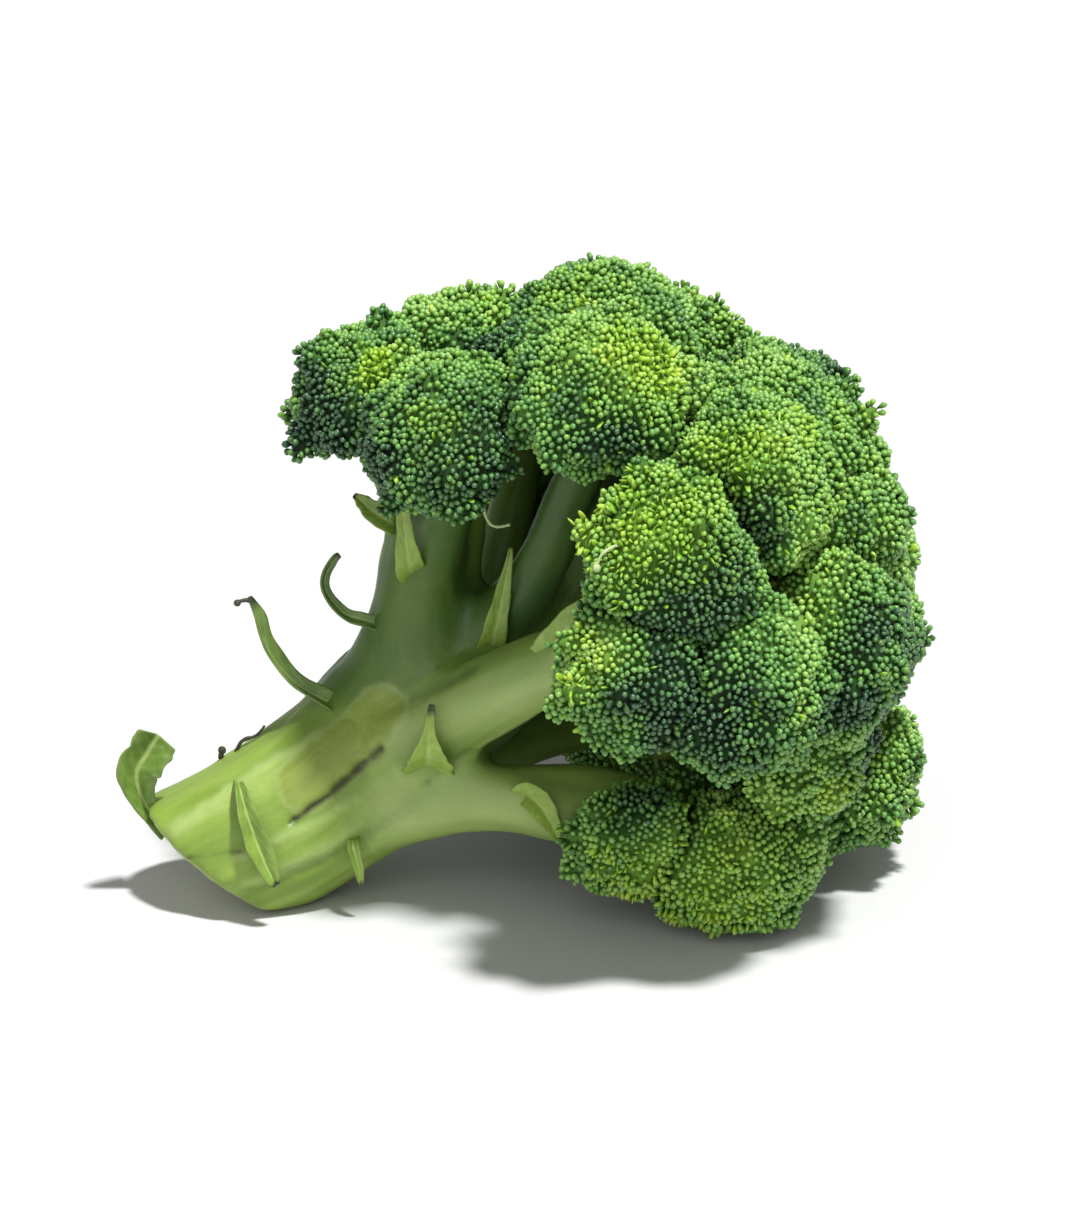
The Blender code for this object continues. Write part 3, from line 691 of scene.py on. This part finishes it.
def dressed_stalk(look):
    """Raises the stalk's ribs and marks, and stores what its material needs on each vertex."""
    solid = fine_stalk()
    solid.verts.index_update()
    places = np.array([vert.co for vert in solid.verts])
    edges = np.array([[vert.index for vert in edge.verts] for edge in solid.edges])
    grain, dark, share = nearest_stem(places)
    grain = settled(grain, edges, GRAIN_ROUNDS)
    dark = settled(dark, edges, DARK_AND_SHADE_ROUNDS)
    past_cut = (places - np.array(CUT_POINT)) @ np.array(CUT_NORMAL)
    face = np.clip(past_cut / CUT_BLEND + 1.5, 0, 1)
    tints = {tint: np.zeros(len(places)) for tint in TINTS}
    # The stems' darkness joins the deep tint: a deeper green with painted shade on the inner branches.
    tints["deep"] += dark
    height = np.zeros(len(places))
    wobble = np.array([noise.noise_vector(Vector(place) / WOBBLE_WIDTH) for place in places])
    skin_tree = bvh_of(solid)
    for kind, width, rise, strength, line in SKIN_MARKS:
        line = [skin_tree.find_nearest(Vector(point) * MM)[0] / MM for point in along(line, MARK_STEP)[1]]
        stray = wobble * min(LEAST_WOBBLE_SHARE * width, MARK_WOBBLE) * MM
        gap = distance_to_line(places + stray, line) / (width * MM)
        profile = np.exp(-(gap**SCAR_EDGE)) if kind == "scar" else np.exp(-(gap**2))
        height += rise * MM * profile
        tints[kind] = np.maximum(tints[kind], strength * profile)
    for index, (vert, cell) in enumerate(zip(solid.verts, map(Vector, grain))):
        rib = noise.noise(cell / RIB_WIDTHS[0]) + 0.4 * noise.noise(cell / RIB_WIDTHS[1])
        height[index] += RIB_HEIGHT * rib * (1 - face[index])
    for vert, rise in zip(solid.verts, height):
        if vert.co.z > 0.5 * MM:
            vert.co += vert.normal * float(rise)
    smoothed(solid, 1)
    piece = new_piece("skin_stalk", solid, [look])
    skin = np.stack([np.clip(tints[tint], 0, 1) for tint in TINTS], axis=1)
    store(piece, "skin", "FLOAT_COLOR", skin)
    store(piece, "pith", "FLOAT_COLOR", np.stack([face, share, dark, np.ones(len(places))], axis=1))
    store(piece, "grain", "FLOAT_VECTOR", grain)
    return piece


# Leaf stubs


# Name, the side that the blade faces, its camber and fold as shares of its width, how pale it is, how dark its tip
# is, and points from the root out, x, y, z and width in millimetres from STEMS_FROM.
LEAF_STUBS = (
    ("cut_end", (0.1, -1, 0.2), 0.05, 0.5, 0.35, 0.1,
     ((-74, -3, 13, 4), (-78.5, -4.2, 19.5, 4.5), (-80, -5.5, 26.5, 8.2), (-77.7, -5.2, 31, 8.8),
      (-75.8, -5, 34.2, 8.2))),
    ("long", (0.8, -0.5, 0.3), 0.1, 0.5, 0.3, 0.9,
     ((-31, 3, 34, 2), (-37, 0, 37.5, 3), (-42.5, -3, 41.5, 4.4), (-48.5, -1, 44.5, 4.2), (-53.5, 0, 51, 4.2),
      (-55.8, 0, 58, 3.4), (-57.5, 0, 62, 1.2))),
    ("hook", (0.6, -0.7, 0.3), 0.1, 0.35, 0.1, 0.8,
     ((-29, -2, 56, 3.5), (-34.5, -2.5, 58, 3), (-39, -2, 59.5, 2.6), (-42.6, -2, 65, 2.3), (-41, -2, 70, 2),
      (-39.5, -2, 71.5, 1.2))),
    ("upper", (0.3, -0.9, 0.3), 0.1, 0.3, 0.6, 0.9,
     ((-28, -2, 77.5, 5), (-32.5, -2.5, 80.5, 4.5), (-35, -2.5, 82.8, 3), (-36.6, -2.5, 84.2, 1))),
    ("left_branch", (0.1, -1, 0.1), 0.1, 0.2, 0.8, 0.3,
     ((-24.5, -4, 68, 6), (-25.5, -8.5, 71, 6), (-26.3, -10, 77, 4), (-26.8, -10, 83, 2.6), (-27, -9.6, 88, 1))),
    ("between", (0, -1, 0.2), 0.1, 0.25, 0.7, 0.3,
     ((-10, -4.5, 51, 6), (-9, -8.5, 57, 5), (-7.3, -9.5, 66, 3.2), (-5.6, -9, 75.5, 0.8))),
    ("mid", (-0.2, -0.9, 0.3), 0.15, 0.35, 0.75, 0.2,
     ((0, -30, 60, 6), (3, -34, 65, 6.5), (7, -37, 71, 5.5), (12, -39, 77, 2))),
    ("fork", (0, -1, 0.3), 0.1, 0.3, 1.0, 0.9,
     ((-22, -10, 28, 10), (-22, -17.8, 33, 10), (-22, -19.3, 36.5, 6), (-21.8, -19, 40.5, 2.6),
      (-21.2, -18, 46, 1.2))),
    ("trunk", (0.1, -0.9, 0.5), 0.05, 0.45, 0.5, 0.9,
     ((-60, -8, 26, 1.5), (-59.3, -15.5, 27.5, 2.2), (-57.8, -19.5, 23.5, 3.8), (-55.4, -21.5, 17, 5),
      (-53, -22.8, 11.5, 3.4), (-52, -22.6, 9.5, 1.2))),
    ("low", (0.2, -1, 0.2), 0.05, 0.35, 0.6, 0.9,
     ((-37, -10, 17, 2.6), (-37, -16, 15.5, 2.6), (-36, -17.6, 11.5, 2.1), (-35.3, -17.6, 7.5, 0.9))),
    ("low_branch", (0, -0.9, 0.4), 0.1, 0.35, 0.9, 0.2,
     ((-5, -13, 23, 4), (-3, -17.8, 27, 5), (0, -20.4, 25.5, 5.5), (2.5, -21.3, 21.5, 3.5), (3.5, -21, 18.5, 1))),
)
LEAF_ROWS = 28
LEAF_COLUMNS = 10
STEP_ALONG = 0.02  # share of a blade's length that its direction is taken over
WAVE_HEIGHT = 0.25 * MM
EDGE_RAGGEDNESS = 0.18  # of the blade's half width
MIDRIB_HEIGHT, MIDRIB_WIDTH = 0.3 * MM, 0.16


def smooth_row(rows, share):
    """A Catmull-Rom curve's row of values at a share of its way, from 0 to 1."""
    spans = len(rows) - 1
    start = min(int(share * spans), spans - 1)
    t = share * spans - start
    before, here, there, after = (rows[min(max(start + i, 0), spans)] for i in (-1, 0, 1, 2))
    return 0.5 * (
        2 * here + (there - before) * t
        + (2 * before - 5 * here + 4 * there - after) * t * t
        + (3 * here - before - 3 * there + after) * t**3
    )


def leaf_stub(name, facing, camber, fold, pale, dark_tip, points, thickness, look):
    """A folded blade along a line of points, with a raised midrib, wavy edges and a torn end."""
    rows = [np.array(point) * MM + np.array((*STEMS_FROM, 0)) * MM for point in points]
    blade = bmesh.new()
    bmesh.ops.create_grid(blade, x_segments=LEAF_COLUMNS, y_segments=LEAF_ROWS, size=1)
    tones = []
    for vert in blade.verts:
        across, share = vert.co.x, (vert.co.y + 1) / 2
        x, y, z, width = smooth_row(rows, share)
        ahead = smooth_row(rows, min(share + STEP_ALONG, 1))
        behind = smooth_row(rows, max(share - STEP_ALONG, 0))
        way = Vector((ahead - behind)[:3]).normalized()
        side = way.cross(Vector(facing)).normalized()
        front = side.cross(way)
        wave = noise.noise(Vector((7 * share, across, len(name))) * 1.7)
        tear = noise.noise(Vector((9 * share, 3 * across, width * 500)))
        half = width / 2 * (1 + EDGE_RAGGEDNESS * abs(across) * tear)
        out = -camber * width * across**2 + fold * width * (abs(across) - 0.5) + WAVE_HEIGHT * wave * abs(across)
        rib = MIDRIB_HEIGHT * math.exp(-((across / MIDRIB_WIDTH) ** 2)) * (1 - share)
        vert.co = Vector((x, y, z)) + side * across * half + front * (out + rib)
        tones.append((share, abs(across), dark_tip, pale))
    bmesh.ops.triangulate(blade, faces=blade.faces)
    bmesh.ops.recalc_face_normals(blade, faces=blade.faces)
    piece = new_piece("blade_" + name, blade, [look])
    store(piece, "leaf", "FLOAT_COLOR", tones)
    thicken = piece.modifiers.new("thicken", "SOLIDIFY")
    thicken.thickness = thickness
    thicken.offset = 0
    soften = piece.modifiers.new("soften", "SUBSURF")
    soften.levels = 1
    soften.render_levels = 1
    return piece


# Shoots and dried scraps


# Name, its look, points along it with the radius there, and the radius of the knob at its end, in millimetres.
THREADS = (
    ("shoot_curled", "shoot", ((19.5, -62, 94.5, 0.4), (16.7, -67.3, 95.8, 0.35), (14.2, -68.4, 94, 0.3),
                               (13.9, -68.4, 91.8, 0.3)), 0.85),
    ("shoot_hanging", "shoot", ((-8, -27, 90, 0.4), (-7.4, -27.5, 87, 0.3), (-5.4, -27.6, 85.2, 0.3),
                                (-3, -27.4, 86, 0.25)), 0.35),
    ("dried_tip", "dried", ((-54.3, -2.4, 61.2, 0.6), (-55.6, -2.6, 61.6, 0.35), (-56.8, -2.6, 60.8, 0.4)), 0.75),
    ("dried_scrap", "dried", ((-57.5, -1, 28.3, 0.5), (-56.8, -1, 30.6, 0.35), (-55.2, -1, 31.6, 0.4),
                              (-53.2, -1, 31.9, 0.3), (-51.8, -1, 34.0, 0.25)), 0.3),
    ("dried_crumb", "dried", ((-60.6, -1, 27.2, 0.5), (-60.2, -1, 29.0, 0.6)), 0.85),
)
THREAD_BUMP, THREAD_BUMP_WIDTH = 0.12 * MM, 0.7 * MM


def thread(name, points, knob, look):
    """A thin curled shoot or dried thread that ends in a knob."""
    line = bpy.data.curves.new(name, "CURVE")
    line.dimensions = "3D"
    line.bevel_depth = MM
    line.bevel_resolution = 2
    line.use_fill_caps = True
    spline = line.splines.new("NURBS")
    spline.points.add(len(points) - 1)
    for point, (x, y, z, radius) in zip(spline.points, points):
        point.co = (x * MM, y * MM, z * MM, 1)
        point.radius = radius
    spline.order_u = 3
    spline.resolution_u = 6
    spline.use_endpoint_u = True
    curve = link(name, line)
    made = bpy.data.meshes.new_from_object(curve.evaluated_get(bpy.context.evaluated_depsgraph_get()))
    solid = bmesh.new()
    solid.from_mesh(made)
    bpy.data.meshes.remove(made)
    bpy.data.curves.remove(line)
    end = Matrix.Translation(Vector(points[-1][:3]) * MM)
    bmesh.ops.create_icosphere(solid, subdivisions=2, radius=knob * MM, matrix=end)
    bmesh.ops.remove_doubles(solid, verts=solid.verts, dist=0.001 * MM)
    for vert in solid.verts:
        vert.co += vert.normal * THREAD_BUMP * noise.noise(vert.co / THREAD_BUMP_WIDTH)
    bmesh.ops.recalc_face_normals(solid, faces=solid.faces)
    return new_piece(name, solid, [look])


# Materials


class Nodes:
    """A node tree, filled in by name. Each method returns the socket that its new node puts out."""

    def __init__(self, tree):
        self.tree = tree

    def add(self, kind, inputs=None, **settings):
        """A new node with its settings, and its inputs set to values or linked to other nodes' sockets."""
        node = self.tree.nodes.new(kind)
        for key, value in settings.items():
            setattr(node, key, value)
        for key, value in (inputs or {}).items():
            self.feed(node.inputs[key], value)
        return node

    def feed(self, socket, value):
        """Links a socket to another, or sets it to a value."""
        if isinstance(value, bpy.types.NodeSocket):
            self.tree.links.new(value, socket)
        else:
            socket.default_value = value

    def mix(self, factor, first, second, blend="MIX"):
        """Two colours mixed."""
        node = self.add("ShaderNodeMix", data_type="RGBA", blend_type=blend)
        self.feed(node.inputs[0], factor)
        self.feed(node.inputs[6], first)
        self.feed(node.inputs[7], second)
        return node.outputs[2]

    def maths(self, operation, *values):
        """The result of an operation on values."""
        node = self.add("ShaderNodeMath", operation=operation)
        for socket, value in zip(node.inputs, values):
            self.feed(socket, value)
        return node.outputs[0]

    def ramp(self, factor, *stops):
        """A colour for each value, from stops of a place and a colour."""
        node = self.add("ShaderNodeValToRGB", {"Fac": factor})
        elements = node.color_ramp.elements
        elements[0].position, elements[0].color = stops[0][0], (*stops[0][1], 1)
        elements[1].position, elements[1].color = stops[-1][0], (*stops[-1][1], 1)
        for place, colour in stops[1:-1]:
            elements.new(place).color = (*colour, 1)
        return node.outputs["Color"]

    def noise(self, scale, detail=3, roughness=0.5, vector=None):
        """Noise on a piece's own coordinates, or on a vector."""
        node = self.add("ShaderNodeTexNoise", {"Scale": scale, "Detail": detail, "Roughness": roughness})
        if vector is None:
            vector = self.add("ShaderNodeTexCoord").outputs["Object"]
        self.feed(node.inputs["Vector"], vector)
        return node.outputs["Fac"]


def plant_skin():
    """A node group that mottles a skin's colour and shine and gives it a fine relief."""
    group = bpy.data.node_groups.get("plant_skin")
    if group:
        return group
    group = bpy.data.node_groups.new("plant_skin", "ShaderNodeTree")
    for name, kind in (("Color", "Color"), ("Scale", "Float"), ("Mottle", "Float"), ("Roughness", "Float")):
        group.interface.new_socket(name, in_out="INPUT", socket_type="NodeSocket" + kind)
    for name, kind in (("Base Color", "Color"), ("Roughness", "Float"), ("Height", "Float")):
        group.interface.new_socket(name, in_out="OUTPUT", socket_type="NodeSocket" + kind)
    nodes = Nodes(group)
    given = nodes.add("NodeGroupInput").outputs
    spots = nodes.noise(given["Scale"], 3)
    tint = nodes.ramp(spots, (0.3, (0.6, 0.66, 0.5)), (0.7, (1.25, 1.2, 1.3)))
    colour = nodes.mix(given["Mottle"], given["Color"], nodes.mix(1.0, given["Color"], tint, "MULTIPLY"))
    shine = nodes.maths("MULTIPLY_ADD", nodes.maths("SUBTRACT", spots, 0.5), 0.3, given["Roughness"])
    nodes.add("NodeGroupOutput", {"Base Color": colour, "Roughness": shine, "Height": spots})
    return group


class Look(Nodes):
    """A material's node tree, with its skin in the shared group."""

    def __init__(self, name):
        self.material = bpy.data.materials.new(name)
        self.material.use_nodes = True
        super().__init__(self.material.node_tree)
        self.shader = self.tree.nodes["Principled BSDF"]

    def skin(self, colour, scale, mottle, roughness, relief, distance):
        """Feeds the shader a mottled colour and a relief, with the skin's own fine relief added to it."""
        inputs = {"Color": colour, "Scale": scale, "Mottle": mottle, "Roughness": roughness}
        skin = self.add("ShaderNodeGroup", node_tree=plant_skin())
        for key, value in inputs.items():
            self.feed(skin.inputs[key], value)
        self.feed(self.shader.inputs["Base Color"], skin.outputs["Base Color"])
        self.feed(self.shader.inputs["Roughness"], skin.outputs["Roughness"])
        height = skin.outputs["Height"]
        if relief is not None:
            height = self.maths("MULTIPLY_ADD", height, 0.3, relief)
        bump = self.add("ShaderNodeBump", {"Height": height, "Distance": distance, "Strength": 1})
        self.feed(self.shader.inputs["Normal"], bump.outputs["Normal"])


def shade(colour, *shares):
    """A colour with its red, green and blue each made lighter or darker."""
    return tuple(part * share for part, share in zip(colour, shares))


def bud_material(settings):
    """Waxy buds: blue-green when ripe and yellow-green when young, paler at their tips from a waxy bloom and a
    painted highlight, with painted shade at their bases and on the surface between them.
    """
    look = Look("bud")
    tone = look.add("ShaderNodeAttribute", attribute_name="bud")
    chance, youth, height = look.add("ShaderNodeSeparateColor", {"Color": tone.outputs["Color"]}).outputs
    ripe = look.ramp(
        chance,
        (0, shade(settings.ripe, 0.085, 0.173, 0.343)),
        (0.35, shade(settings.ripe, 0.447, 0.602, 0.643)),
        (0.7, settings.ripe),
        (1, shade(settings.ripe, 1.516, 1.257, 1.786)),
    )
    young = look.ramp(
        chance,
        (0, shade(settings.young, 0.6, 0.772, 0.714)),
        (0.6, settings.young),
        (1, shade(settings.young, 1.486, 1.158, 1.786)),
    )
    body = look.mix(youth, ripe, young)
    # Each bud paler towards its tip: partly its waxy bloom, partly a painted highlight.
    tip = look.ramp(height, (0.6, (0, 0, 0)), (1, (1, 1, 1)))
    bloom = look.mix(look.maths("MULTIPLY", tip, 0.2), body, (0.38, 0.55, 0.32, 1))
    # Painted shade: each bud darkens towards its base and the surface between the buds goes near black, less so
    # where the buds are pale.
    painted_gap_shade = look.ramp(height, (0.0, (0.10, 0.16, 0.07)), (0.22, (0.52, 0.64, 0.42)), (0.55, (1, 1, 1)))
    painted_gap_shade = look.mix(look.maths("MULTIPLY", chance, 0.45), painted_gap_shade, (0.9, 1, 0.8, 1))
    shaded = look.mix(1.0, bloom, painted_gap_shade, "MULTIPLY")
    look.shader.inputs["Specular IOR Level"].default_value = 0.45
    dry = look.ramp(height, (0.0, (1, 1, 1)), (0.5, (0.27, 0.27, 0.27)))
    look.skin(shaded, 1500, 0.35, dry, None, 0.03 * MM)
    return look.material


def stalk_material(settings):
    """Smooth skin with a pale bloom, streaks along the stems, olive scars, cracks and a pithy cut face, with
    painted shade on the inner branches and in the creases and painted light on the fronts of the low branches.
    """
    look = Look("stalk")
    grain = look.add("ShaderNodeAttribute", attribute_name="grain").outputs["Vector"]
    marks = look.add("ShaderNodeAttribute", attribute_name="skin")
    pale, scar, crack = look.add("ShaderNodeSeparateColor", {"Color": marks.outputs["Color"]}).outputs
    # The deep tint: darker green with painted shade on the inner branches, and painted shade in the creases.
    deep = marks.outputs["Alpha"]
    cut = look.add("ShaderNodeAttribute", attribute_name="pith")
    face, radial, _ = look.add("ShaderNodeSeparateColor", {"Color": cut.outputs["Color"]}).outputs
    streaks = look.noise(420, 4, 0.6, grain)
    broad = look.noise(110, 2, 0.5, grain)
    blotches = look.noise(45, 3)
    fresh = look.ramp(
        broad,
        (0.3, shade(settings.skin, 0.732, 0.79, 0.667)),
        (0.55, settings.skin),
        (0.75, shade(settings.skin, 1.317, 1.194, 1.771)),
    )
    # Painted shade colour for the inner branches and the creases.
    dark = look.ramp(blotches, (0.3, shade(settings.shaded_skin, 0.455, 0.656, 1.1)), (0.7, settings.shaded_skin))
    skin = look.mix(deep, fresh, dark)
    lines = look.ramp(streaks, (0.3, (0.86, 0.90, 0.78)), (0.7, (1.09, 1.06, 1.12)))
    skin = look.mix(1.0, skin, lines, "MULTIPLY")
    skin = look.mix(pale, skin, (*settings.line, 1))
    healed = look.ramp(streaks, (0.3, shade(settings.scar, 0.731, 0.785, 0.615)), (0.7, settings.scar))
    skin = look.mix(scar, skin, healed)
    rim = look.ramp(scar, (0.05, (0, 0, 0)), (0.35, (0.28, 0.28, 0.28)), (0.8, (0, 0, 0)))
    skin = look.mix(rim, skin, (0.40, 0.48, 0.20, 1))
    pith = look.ramp(
        radial,
        (0.0, settings.pith),
        (0.6, shade(settings.pith, 0.894, 0.962, 0.815)),
        (0.72, shade(settings.pith, 0.511, 0.654, 0.37)),
        (0.8, shade(settings.pith, 0.851, 0.904, 0.741)),
        (1.0, shade(settings.pith, 0.638, 0.519, 0.407)),
    )
    skin = look.mix(face, skin, pith)
    skin = look.mix(crack, skin, (0.030, 0.034, 0.010, 1))
    look.shader.inputs["Specular IOR Level"].default_value = 0.35
    look.skin(skin, 1500, 0.12, look.maths("MULTIPLY_ADD", streaks, 0.3, 0.3), streaks, 0.1 * MM)
    return look.material


def leaf_material(settings):
    """Leaf flesh from deep to yellow green, with a pale midrib, side veins, a bruised edge and a dried tip."""
    look = Look("leaf")
    tone = look.add("ShaderNodeAttribute", attribute_name="leaf")
    share, across, dark_tip = look.add("ShaderNodeSeparateColor", {"Color": tone.outputs["Color"]}).outputs
    pale = tone.outputs["Alpha"]
    mottle = look.noise(260, 4)
    deep = look.ramp(mottle, (0.3, shade(settings.leaf, 0.4, 0.531, 0.6)), (0.7, settings.leaf))
    light = look.ramp(mottle, (0.3, shade(settings.pale_leaf, 0.588, 0.702, 0.467)), (0.7, settings.pale_leaf))
    flesh = look.mix(pale, deep, light)
    midrib = look.ramp(across, (0.08, (1, 1, 1)), (0.22, (0, 0, 0)))
    flesh = look.mix(look.maths("MULTIPLY", midrib, 0.45), flesh, (0.42, 0.50, 0.17, 1))
    branching = look.maths("SUBTRACT", look.maths("MULTIPLY", share, 22), look.maths("MULTIPLY", across, 5))
    veins = look.maths("POWER", look.maths("ABSOLUTE", look.maths("SINE", branching)), 6)
    flesh = look.mix(look.maths("MULTIPLY", veins, 0.1), flesh, (0.40, 0.50, 0.18, 1))
    edge = look.ramp(look.maths("MULTIPLY_ADD", mottle, 0.25, across), (0.98, (0, 0, 0)), (1.12, (1, 1, 1)))
    flesh = look.mix(look.maths("MULTIPLY", edge, 0.15), flesh, (0.10, 0.095, 0.025, 1))
    end = look.ramp(look.maths("MULTIPLY_ADD", mottle, 0.12, share), (0.93, (0, 0, 0)), (1.02, (1, 1, 1)))
    flesh = look.mix(look.maths("MULTIPLY", end, dark_tip), flesh, (0.018, 0.020, 0.012, 1))
    look.skin(flesh, 900, 0.25, 0.42, look.maths("MULTIPLY", veins, 0.3), 0.1 * MM)
    return look.material


def thread_material(name, dark, light, roughness):
    """The mottled skin of a thin shoot or a dried scrap."""
    look = Look(name)
    mottle = look.noise(700, 4)
    look.skin(look.ramp(mottle, (0.3, dark), (0.7, light)), 1200, 0.3, roughness, None, 0.1 * MM)
    return look.material


# Operators


class BROCCOLI_OT_buds(bpy.types.Operator):
    """Covers every floret with closed buds"""

    bl_idname = "broccoli.buds"
    bl_label = "Grow the buds"

    def execute(self, context):
        settings = context.scene.broccoli_buds
        noise.seed_set(settings.seed)
        bud_material(settings)
        cores = {}
        for cap in CAPS:
            skin = cap_skin(cap)
            for name in cap:
                cores["floret_" + name] = core_of("floret_" + name, skin, settings)
        for index, (centre, radius) in enumerate(SPRIGS):
            cores[f"sprig_{index + 1}"] = sprig_core(centre, radius)
        trees = {name: bvh_of(core) for name, core in cores.items()}
        boxes = {name: box_of(core) for name, core in cores.items()}
        stalk = bvh_of(merged_copy("stalk"))
        everything = [*trees.values(), stalk]
        for order, (name, core) in enumerate(cores.items()):
            low, high = boxes[name]
            others = [(stalk, WALL_CLEARANCE)]
            for other, tree in trees.items():
                under, over = boxes[other]
                if tree is not trees[name] and (under < high + MM).all() and (over > low - MM).all():
                    united = name.startswith("sprig") or any(name[7:] in cap and other[7:] in cap for cap in CAPS)
                    others.append((tree, CAP_CLEARANCE if united else WALL_CLEARANCE))
            rng = np.random.default_rng(settings.seed + order)
            piece = grow_buds(name, core, others, everything, settings, rng)
            if name in NODES:
                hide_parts(name)
        for core in cores.values():
            core.free()
        return {"FINISHED"}


class BROCCOLI_OT_stalk(bpy.types.Operator):
    """Dresses the stalk and its branches"""

    bl_idname = "broccoli.stalk"
    bl_label = "Dress the stalk"

    def execute(self, context):
        noise.seed_set(context.scene.broccoli_buds.seed)
        piece = dressed_stalk(stalk_material(context.scene.broccoli_stems))
        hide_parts("stalk")
        return {"FINISHED"}


class BROCCOLI_OT_leaves(bpy.types.Operator):
    """Dresses the leaf stubs"""

    bl_idname = "broccoli.leaves"
    bl_label = "Dress the leaf stubs"

    def execute(self, context):
        settings = context.scene.broccoli_stems
        look = leaf_material(settings)
        for name, *row in LEAF_STUBS:
            piece = leaf_stub(name, *row, settings.blade, look)
            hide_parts("leaf_" + name)
        return {"FINISHED"}


class BROCCOLI_OT_threads(bpy.types.Operator):
    """Adds the curled shoots and the dried scraps"""

    bl_idname = "broccoli.threads"
    bl_label = "Add the shoots and scraps"

    def execute(self, context):
        looks = {
            "shoot": thread_material("shoot", (0.30, 0.42, 0.14), (0.50, 0.58, 0.30), 0.35),
            "dried": thread_material("dried", (0.012, 0.012, 0.008), (0.05, 0.05, 0.025), 0.6),
        }
        for name, look, points, knob in THREADS:
            piece = thread(name, points, knob, looks[look])
        return {"FINISHED"}


class BROCCOLI_OT_stage(bpy.types.Operator):
    """Sets up the surface, the lights and the camera"""

    bl_idname = "broccoli.stage"
    bl_label = "Set the stage"

    def execute(self, context):
        settings = context.scene.broccoli_stage
        lay_floor(settings)
        hang_lights(settings)
        place_camera(settings)
        return {"FINISHED"}


FLOOR_SIDE = 6.0
AIM = Vector((3.1, 17, 53)) * MM
# Where the lights stand and how wide they are (degrees).
OVERHEAD, FRONT = ((0.24, -0.28, 1), 6), ((-0.2, -1, 0.4), 60)


def lay_floor(settings):
    """A wide matt surface at the head's lowest point."""
    floor = bmesh.new()
    bmesh.ops.create_grid(floor, x_segments=1, y_segments=1, size=FLOOR_SIDE / 2)
    mesh = bpy.data.meshes.new("floor")
    floor.to_mesh(mesh)
    floor.free()
    look = Look("floor")
    look.shader.inputs["Base Color"].default_value = (*settings.floor, 1)
    look.shader.inputs["Roughness"].default_value = 0.9
    mesh.materials.append(look.material)
    stage = link("floor", mesh)


def hang_sun(name, towards, spread, power):
    """A light of a given width, from far away."""
    light = bpy.data.lights.new(name, "SUN")
    light.energy = power
    light.angle = math.radians(spread)
    link(name, light).rotation_euler = Vector(towards).to_track_quat("Z", "Y").to_euler()


def hang_lights(settings):
    """A soft light from above, a broad weak one in front and an even sky."""
    hang_sun("overhead", *OVERHEAD, settings.sun)
    hang_sun("front", *FRONT, settings.fill)
    world = bpy.data.worlds.new("studio")
    world.use_nodes = True
    backdrop = world.node_tree.nodes["Background"].inputs
    backdrop["Color"].default_value = (1, 1, 1, 1)
    backdrop["Strength"].default_value = settings.sky
    bpy.context.scene.world = world


def place_camera(settings):
    """A long lens aimed at the head's middle."""
    lens = bpy.data.cameras.new("camera")
    lens.lens = lens.sensor_width * settings.distance / settings.view_height
    lens.clip_end = 20
    camera = link("camera", lens)
    back = Vector((0, -math.cos(settings.elevation), math.sin(settings.elevation)))
    camera.location = AIM + back * settings.distance
    camera.rotation_euler = back.to_track_quat("Z", "Y").to_euler()
    bpy.context.scene.camera = camera
    bpy.context.scene.view_settings.view_transform = "Standard"


class BROCCOLI_PT_panel(bpy.types.Panel):
    """The broccoli head's pieces and their settings"""

    bl_label = "Broccoli head"
    bl_idname = "BROCCOLI_PT_panel"
    bl_space_type = "VIEW_3D"
    bl_region_type = "UI"
    bl_category = "Broccoli"

    def draw(self, context):
        scene = context.scene
        for settings, *operators in (
            (scene.broccoli_buds, BROCCOLI_OT_buds),
            (scene.broccoli_stems, BROCCOLI_OT_stalk, BROCCOLI_OT_leaves, BROCCOLI_OT_threads),
            (scene.broccoli_stage, BROCCOLI_OT_stage),
        ):
            for key in type(settings).__annotations__:
                self.layout.prop(settings, key)
            for operator in operators:
                self.layout.operator(operator.bl_idname)


CLASSES = (
    BudSettings,
    StemSettings,
    StageSettings,
    BROCCOLI_OT_buds,
    BROCCOLI_OT_stalk,
    BROCCOLI_OT_leaves,
    BROCCOLI_OT_threads,
    BROCCOLI_OT_stage,
    BROCCOLI_PT_panel,
)


def register():
    for kind in CLASSES:
        bpy.utils.register_class(kind)
    bpy.types.Scene.broccoli_buds = bpy.props.PointerProperty(type=BudSettings)
    bpy.types.Scene.broccoli_stems = bpy.props.PointerProperty(type=StemSettings)
    bpy.types.Scene.broccoli_stage = bpy.props.PointerProperty(type=StageSettings)


def unregister():
    del bpy.types.Scene.broccoli_stage
    del bpy.types.Scene.broccoli_stems
    del bpy.types.Scene.broccoli_buds
    for kind in reversed(CLASSES):
        bpy.utils.unregister_class(kind)


def main():
    """Makes every piece in order."""
    register()
    bpy.ops.broccoli.buds()
    bpy.ops.broccoli.stalk()
    bpy.ops.broccoli.leaves()
    bpy.ops.broccoli.threads()
    bpy.ops.broccoli.stage()


if __name__ == "__main__":
    main()
